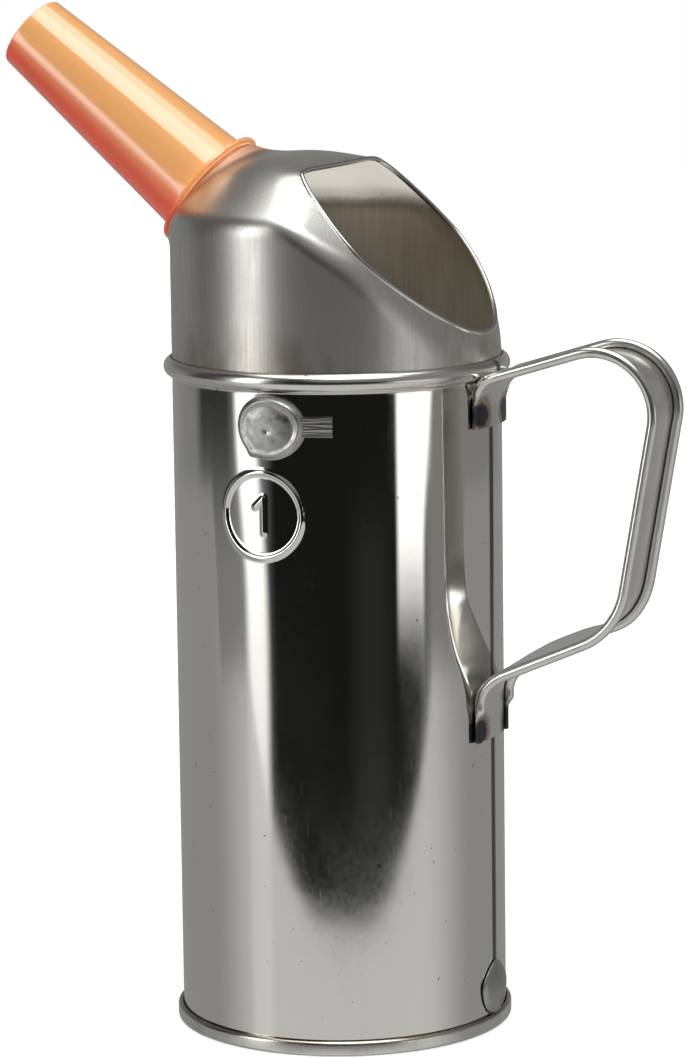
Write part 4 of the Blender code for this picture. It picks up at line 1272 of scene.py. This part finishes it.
def bar_tin(settings):
    """The level bar: dull tin with grooves along it, painted darker in them as painted shade."""
    material, place = new_finish("level_bar_tin")
    colours = settings.colours
    grooves = noise(place, (60.0, 60.0, 1700.0), detail=2.0, roughness=0.6)
    # Painted shade: the low grooves of the bump are painted darker
    tin = blended(fade(grooves, 0.35, 0.65), colours.groove, colours.satin_tin)
    return finished(material, Base_Color=tin, Metallic=1.0, Roughness=0.3,
                    Normal=bumped(grooves, strength=0.9, depth=0.0002))


def nozzle_plastic(settings):
    """Glossy, slightly translucent plastic with faint flow marks, a painted glow on its outer skin in place
    of light through it, and painted shade below.
    """
    material, place = new_finish("orange_plastic")
    nozzle, colours = settings.nozzle, settings.colours
    seat = {"Vector": place, "Location": (-nozzle.seat_reach, 0.0, nozzle.seat_height),
            "Rotation": (0.0, nozzle.rise - pi / 2, 0.0)}
    place = add_node(place.tree, "Mapping", seat, vector_type="TEXTURE")
    parts = separated(place)
    taper = (nozzle.root_radius - nozzle.tip_radius) / nozzle.length
    radius = calc("SUBTRACT", nozzle.root_radius, parts[2] * taper)
    # Painted shade: the underside is darker and redder than the lit top
    upper = fade(parts[0] / radius, *PLASTIC_TURNS)
    cloud = noise(place, 45.0)
    flow = noise(place, (500.0, 500.0, 30.0))
    rough = fade(cloud + flow * 0.4, 0.4, 0.95, 0.24, 0.32)
    from_axis = calc("SQRT", parts[0] ** 2.0 + parts[1] ** 2.0)
    # Painted glow: only the outer skin emits, as light through the plastic
    outside = (from_axis > radius - OUTER_SKIN) * (parts[2] > -OUTER_SKIN_BELOW)
    return finished(
        material, Base_Color=blended(upper, colours.plastic_shaded_below, colours.plastic), Roughness=rough,
        Subsurface_Weight=0.3, Subsurface_Scale=0.003, Subsurface_Radius=(1.0, 0.25, 0.10),
        Emission_Color=blended(upper, colours.glow_shaded_below, colours.glow), Emission_Strength=outside * 0.32,
        Specular_IOR_Level=0.4, Coat_Weight=1.0, Coat_Roughness=0.08, Coat_IOR=1.75,
        Normal=bumped(flow, strength=0.06, depth=0.00004))


def camera_ray(tree):
    """1 for what the camera sees straight or through glass, and 0 for what lights the jug."""
    return calc("MAXIMUM", add_node(tree, "LightPath", output="Is Camera Ray"),
                add_node(tree, "LightPath", output="Is Transmission Ray"))


def floor_finish(settings):
    """Pale floor that keeps the jug's shadow.

    Its lit parts reach white. Metal doesn't mirror it, but the table that the studio's light has.
    """
    material, place = new_finish("pale_floor")
    tree = material.node_tree
    tree.nodes.remove(tree.nodes["Principled BSDF"])
    pale = settings.colours.floor
    tint = blended(noise(place, 3.0, detail=2.0), dimmed(pale, 0.985), pale)
    from_middle = add_node(tree, "VectorMath", {0: place}, "Value", operation="LENGTH")
    off_table = fade(from_middle, *TABLE_ENDS) * add_node(tree, "LightPath", output="Is Diffuse Ray")
    tint = blended(off_table, tint, settings.colours.beyond_table)
    glow = add_node(tree, "Emission", {"Strength": camera_ray(tree) * settings.studio.floor_lift})
    lit = add_node(tree, "AddShader", {0: add_node(tree, "BsdfDiffuse", {"Color": tint}), 1: glow})
    mirrored = add_node(tree, "LightPath", output="Is Glossy Ray")
    mixed = add_node(tree, "MixShader", {0: mirrored, 1: lit, 2: add_node(tree, "BsdfTransparent")})
    connect(tree.nodes["Material Output"].inputs["Surface"], mixed)
    return material


# Directions of the studio's lights, in degrees. A pair is where a fade starts and ends, the third and fourth
# of four numbers are what it starts and ends with, and three numbers are a window's edges and its softness.
ROOM_TO_BACK = (120.0, 165.0)
SHADED_SIDES = (-113.0, -79.0, 6.0)
SHADED_FROM = (-10.0, -7.5)
BEHIND_FROM = (95.0, 130.0)
BEHIND_HEIGHTS = (15.0, 55.0, 8.0)
UNLIT_LEFT = (-60.0, -44.0)
UNLIT_RIGHT = (54.0, 70.0)
UNLIT_TOP = (38.0, 56.0)
UNLIT_NARROWS = (-3.0, 8.0, 0.0, 28.0)
UNLIT_LOWERS = (-32.0, -8.0, 0.0, 30.0)
LEFT_SIDES = (-68.0, -52.0, 3.5)
LEFT_LEANS_OUT = (-10.5, -7.5, 0.0, 7.5)
LEFT_LEANS_BACK = (-7.0, -5.5, 0.0, 6.0)
LEFT_FOOT = (-14.0, -8.0)
LEFT_BRIGHTENS = (-8.5, -3.0, 1.0, 2.2)
LEFT_TOP = (30.0, 40.0)
RIGHT_INNER = (39.0, 43.0)
RIGHT_OUTER = (59.0, 63.0)
RIGHT_WIDENS = (-9.5, -7.0, 0.0, 8.0)
RIGHT_FOOT = (-11.4, -9.0)
RIGHT_WEAKENS = (-7.6, -5.6, 1.0, 0.4)
RIGHT_BAND_SIDES = (37.0, 46.0, 3.0)
RIGHT_BAND_FROM = (-7.2, -6.4, 0.0, 0.95)
RIGHT_TOP = (-2.0, 8.0)
TOP_EDGE = 62.0
TOP_FRONT = (-15.0, 62.0, 8.0)
TOP_FRONT_DROP = 6.0
TOP_BESIDE = (68.0, 97.0, 6.0)
TOP_BESIDE_RISE = 8.0
TOP_SOFTNESS = (-3.0, 3.0)
TOP_BRIGHTER = (-20.0, 80.0, 10.0)
HAZE_SIDES = (10.0, 34.0, 9.0)
HAZE = (-9.6, -8.6, 0.014, 0.0)
BACK_BOX_FROM = (166.0, 172.0)
BACK_BOX_HEIGHTS = (-25.0, -12.0, 3.0)
TABLE_BOW_SIDE = 60.0
TABLE_BOW = 2.4
TABLE_FRONT = -14.65
TABLE_HIGHEST = -11.2
TABLE_STEP = (92.0, 100.0, 0.0, 2.5)
TABLE_SOFTNESS = (-0.18, 0.22)
TABLE_DARKENS = (55.0, 105.0)


def room_light(studio, side, away, height):
    """The room: plain beside the jug, shaded on the left and high behind, and unlit in front."""
    room = fade(away, *ROOM_TO_BACK, studio.room, studio.back)
    room = room * (1.0 - window(side, *SHADED_SIDES) * fade(height, *SHADED_FROM) * 0.85)
    room = room * (1.0 - fade(away, *BEHIND_FROM) * window(height, *BEHIND_HEIGHTS) * 0.5)
    right_edge = side + fade(height, *UNLIT_NARROWS)
    top_edge = height + fade(side, *UNLIT_LOWERS)
    unlit = fade(side, *UNLIT_LEFT) * fade_out(right_edge, *UNLIT_RIGHT) * fade_out(top_edge, *UNLIT_TOP)
    return room * (1.0 - unlit) + unlit * studio.dark


def left_box(studio, side, height):
    """The softbox on the left, leaning at its foot and brighter above."""
    lean = fade(height, *LEFT_LEANS_OUT) - fade(height, *LEFT_LEANS_BACK)
    light = window(side + lean, *LEFT_SIDES)
    light = light * fade(height, *LEFT_FOOT, studio.left_box * 0.6, studio.left_box * 1.2)
    return light * fade(height, *LEFT_BRIGHTENS) * fade_out(height, *LEFT_TOP)


def right_box(studio, side, height):
    """The softbox on the right, wider and weaker upwards, with a narrow band over its foot."""
    widening = fade(height, *RIGHT_WIDENS)
    light = fade(side, *RIGHT_INNER) * fade_out(side - widening, *RIGHT_OUTER)
    light = light * fade(height, *RIGHT_FOOT) * fade(height, *RIGHT_WEAKENS)
    narrow = window(side, *RIGHT_BAND_SIDES) * fade(height, *RIGHT_BAND_FROM)
    return calc("MAXIMUM", light, narrow) * fade_out(height, *RIGHT_TOP, studio.right_box)


def top_box(studio, side, height):
    """The softbox overhead, which reaches lower in front and less low on the right."""
    edge = TOP_EDGE - window(side, *TOP_FRONT) * TOP_FRONT_DROP
    edge = edge + window(side, *TOP_BESIDE) * TOP_BESIDE_RISE
    light = fade(height - edge, *TOP_SOFTNESS, 0.0, studio.top_box)
    return light * (window(side, *TOP_BRIGHTER) * 0.4 + 0.6)


def table_edge(away):
    """How high the table's round edge stands, which bends up to the sides."""
    bow = (away / TABLE_BOW_SIDE) ** 3.0 * TABLE_BOW
    edge = calc("MINIMUM", bow + TABLE_FRONT, TABLE_HIGHEST)
    return edge + fade(away, *TABLE_STEP)


def studio_light(toward, studio):
    """Level of the studio by direction: a dark room in front, three softboxes and a round table.

    Directions are degrees: side counts from the camera to the right, and height from the horizon up.
    """
    inputs = {"Vector": toward, "Angle": -FRONT_ANGLE}
    facing = add_node(toward.tree, "VectorRotate", inputs, rotation_type="Z_AXIS")
    parts = separated(facing)
    side = calc("ARCTAN2", parts[1], parts[0]) * (180 / pi)
    away = abs(side)
    height = calc("ARCSINE", parts[2]) * (180 / pi)

    left = left_box(studio, side, height)
    level = room_light(studio, side, away, height) + left + right_box(studio, side, height)
    level = level + top_box(studio, side, height)
    level = level + window(side, *HAZE_SIDES) * fade(height, *HAZE)
    level = level + fade(away, *BACK_BOX_FROM) * window(height, *BACK_BOX_HEIGHTS) * 0.9

    on_table = fade(table_edge(away) - height, *TABLE_SOFTNESS)
    table = fade(away, *TABLE_DARKENS, studio.table * 1.4, studio.table * 0.68) + left * 0.12
    return level * (1.0 - on_table) + table * on_table


def add_camera():
    data = bpy.data.cameras.new("photograph_view")
    data.lens = CAMERA_LENS
    data.sensor_width = CAMERA_SENSOR
    data.clip_end = CAMERA_REACH
    camera = bpy.data.objects.new("photograph_view", data)
    turned_by = Matrix.Rotation(radians(CAMERA_TURN_DEG), 4, "Z")
    tilted = Matrix.Rotation(radians(90 - CAMERA_DOWN_DEG), 4, "X")
    rolled = Matrix.Rotation(radians(CAMERA_ROLL_DEG), 4, "Z")
    camera.matrix_world = Matrix.Translation(CAMERA_PLACE) @ turned_by @ tilted @ rolled
    bpy.context.scene.collection.objects.link(camera)
    bpy.context.scene.camera = camera


FLOOR_CLEARANCE = 0.00005
FLOOR_SIDES = 96


class JUG_OT_studio(bpy.types.Operator):
    """Add the camera, the pale floor and the studio's light"""

    bl_idname = "jug.studio"
    bl_label = "Studio"

    def execute(self, context):
        settings = context.scene.jug
        add_camera()
        shape = bmesh.new()
        bmesh.ops.create_circle(shape, cap_ends=True, segments=FLOOR_SIDES,
                                radius=settings.studio.floor_radius)
        mesh = bpy.data.meshes.new("floor")
        shape.to_mesh(mesh)
        shape.free()
        mesh.materials.append(floor_finish(settings))
        floor = bpy.data.objects.new("floor", mesh)
        floor.location.z = -FLOOR_CLEARANCE
        context.scene.collection.objects.link(floor)
        world = bpy.data.worlds.new("studio")
        world.use_nodes = True
        context.scene.world = world
        tree = world.node_tree
        seen = camera_ray(tree)
        level = studio_light(add_node(tree, "TexCoord", output="Generated"), settings.studio)
        background = tree.nodes["Background"].inputs
        connect(background["Strength"], seen + level * (1.0 - seen))
        connect(background["Color"], (1.0, 1.0, 1.0))
        context.scene.view_settings.view_transform = "Standard"
        return {"FINISHED"}


class JUG_OT_body(bpy.types.Operator):
    """Build the rolled body with its bead, its seam and the pressed measuring mark"""

    bl_idname = "jug.body"
    bl_label = "Body"

    def execute(self, context):
        settings = context.scene.jug
        shape = grid_shape(body_grid(settings.body), closed_rows=True)
        add_piece("rolled_body", shape, "body_shell", "jug", [bright_tin(settings)])
        return {"FINISHED"}


class JUG_OT_base(bpy.types.Operator):
    """Build the folded base and finish the solder in its fold"""

    bl_idname = "jug.base"
    bl_label = "Base"

    def execute(self, context):
        settings = context.scene.jug
        outline = base_outline(settings.base, settings.body)
        outline[:, 0] = np.maximum(outline[:, 0], 0.0)
        shape = grid_shape(turned(outline, settings.base.sides), closed_rows=True)
        bmesh.ops.remove_doubles(shape, verts=shape.verts, dist=MERGE_DISTANCE)
        add_piece("folded_base", shape, "base_cap", "jug", [base_tin(settings)])
        dress_node("base_solder", solder_skin(settings, "fold_solder", 0.45))
        return {"FINISHED"}


class JUG_OT_hood(bpy.types.Operator):
    """Build the drawn hood with its filling mouth and rolled lip, and finish the solder round its foot"""

    bl_idname = "jug.hood"
    bl_label = "Hood"

    def execute(self, context):
        settings = context.scene.jug
        form = HoodForm(settings.hood, settings.nozzle, settings.body)
        colours = settings.colours
        finishes = [
            hood_outside(settings, "hood_satin", colours.satin_tin, 0.29, 0.38, unevenness=0.5),
            hood_inside(settings),
            hood_outside(settings, "hood_lip", colours.tin, 0.14, 0.22, unevenness=0.3),
        ]
        add_piece("drawn_hood", hood_shape(form), "hood", "jug", finishes)
        dress_node("rim_solder", solder_skin(settings, "rim_solder_skin", 0.45))
        return {"FINISHED"}


class JUG_OT_nozzle(bpy.types.Operator):
    """Build the pouring nozzle that pulls out of the neck"""

    bl_idname = "jug.nozzle"
    bl_label = "Pouring nozzle"

    def execute(self, context):
        settings = context.scene.jug
        nozzle = settings.nozzle
        outline = nozzle_outline(nozzle, settings.hood, settings.body)
        shape = grid_shape(turned(outline, nozzle.sides), closed_rows=True)
        seat = Matrix.Translation((-nozzle.seat_reach, 0, nozzle.seat_height))
        shape.transform(seat @ Matrix.Rotation(nozzle.rise - pi / 2, 4, "Y"))
        add_piece("pouring_nozzle", shape, "nozzle", "nozzle", [nozzle_plastic(settings)])
        return {"FINISHED"}


class JUG_OT_handle(bpy.types.Operator):
    """Build the strap handle with its rolled edges and pressed feet"""

    bl_idname = "jug.handle"
    bl_label = "Handle"

    def execute(self, context):
        settings = context.scene.jug
        shape = grid_shape(handle_grid(settings.handle, settings.body), caps=True)
        add_piece("strap_with_rolled_edges", shape, "handle_strap", "jug", [handle_tin(settings)])
        return {"FINISHED"}


class JUG_OT_solder(bpy.types.Operator):
    """Build the solder over the level bar and at the foot of the seam, and finish the bar"""

    bl_idname = "jug.solder"
    bl_label = "Solder"

    def execute(self, context):
        settings = context.scene.jug
        solder, body = settings.solder, settings.body
        mark = level_angle(body)
        seal = solder_grid(body, mark, solder.seal_height, solder.seal_half_width, solder.seal_half_height,
                           solder.seal_rise, seal_outline, partial(seal_surface, solder))
        drop = solder_grid(body, 0.0, solder.drop_height, solder.drop_half_width, solder.drop_half_height,
                           solder.drop_rise, drop_outline, partial(drop_surface, solder))
        seal_spot = (body.radius * cos(mark), body.radius * sin(mark), solder.seal_height)
        drop_spot = (body.radius, 0.0, solder.drop_height)
        seal_skin = solder_skin(settings, "seal_solder", 0.36, seal_spot, solder.seal_half_width)
        drop_skin = solder_skin(settings, "drop_solder", 0.38, drop_spot, solder.drop_half_width)
        add_piece("level_solder_bead", grid_shape(seal, caps=True), "level_seal", "jug", [seal_skin])
        add_piece("seam_solder_bead", grid_shape(drop, caps=True), "seam_seal", "jug", [drop_skin])
        dress_node("level_bar", bar_tin(settings))
        return {"FINISHED"}


class JUG_PT_panel(bpy.types.Panel):
    """Sizes, colours and builders of the jug"""

    bl_idname = "JUG_PT_panel"
    bl_label = "Oil measuring jug"
    bl_space_type = "VIEW_3D"
    bl_region_type = "UI"
    bl_category = "Jug"

    def draw(self, context):
        settings = context.scene.jug
        for operator in OPERATORS:
            self.layout.operator(operator.bl_idname)
        for group in ("body", "base", "hood", "nozzle", "handle", "solder", "colours", "studio"):
            box = self.layout.box()
            box.label(text=group.capitalize())
            values = getattr(settings, group)
            for name in values.__annotations__:
                box.prop(values, name)


GROUPS = (JugBodySizes, JugBaseSizes, JugHoodSizes, JugNozzleSizes, JugHandleSizes, JugSolderSizes,
          JugColours, JugStudioSizes, JugSettings)
OPERATORS = (JUG_OT_studio, JUG_OT_body, JUG_OT_base, JUG_OT_hood, JUG_OT_nozzle, JUG_OT_handle,
             JUG_OT_solder)


def register():
    for item in (*GROUPS, *OPERATORS, JUG_PT_panel):
        bpy.utils.register_class(item)
    bpy.types.Scene.jug = PointerProperty(type=JugSettings)


def unregister():
    del bpy.types.Scene.jug
    for item in reversed((*GROUPS, *OPERATORS, JUG_PT_panel)):
        bpy.utils.unregister_class(item)


def main():
    register()
    bpy.ops.jug.studio()
    bpy.ops.jug.body()
    bpy.ops.jug.base()
    bpy.ops.jug.hood()
    bpy.ops.jug.nozzle()
    bpy.ops.jug.handle()
    bpy.ops.jug.solder()
    bpy.context.view_layer.update()


if __name__ == "__main__":
    main()
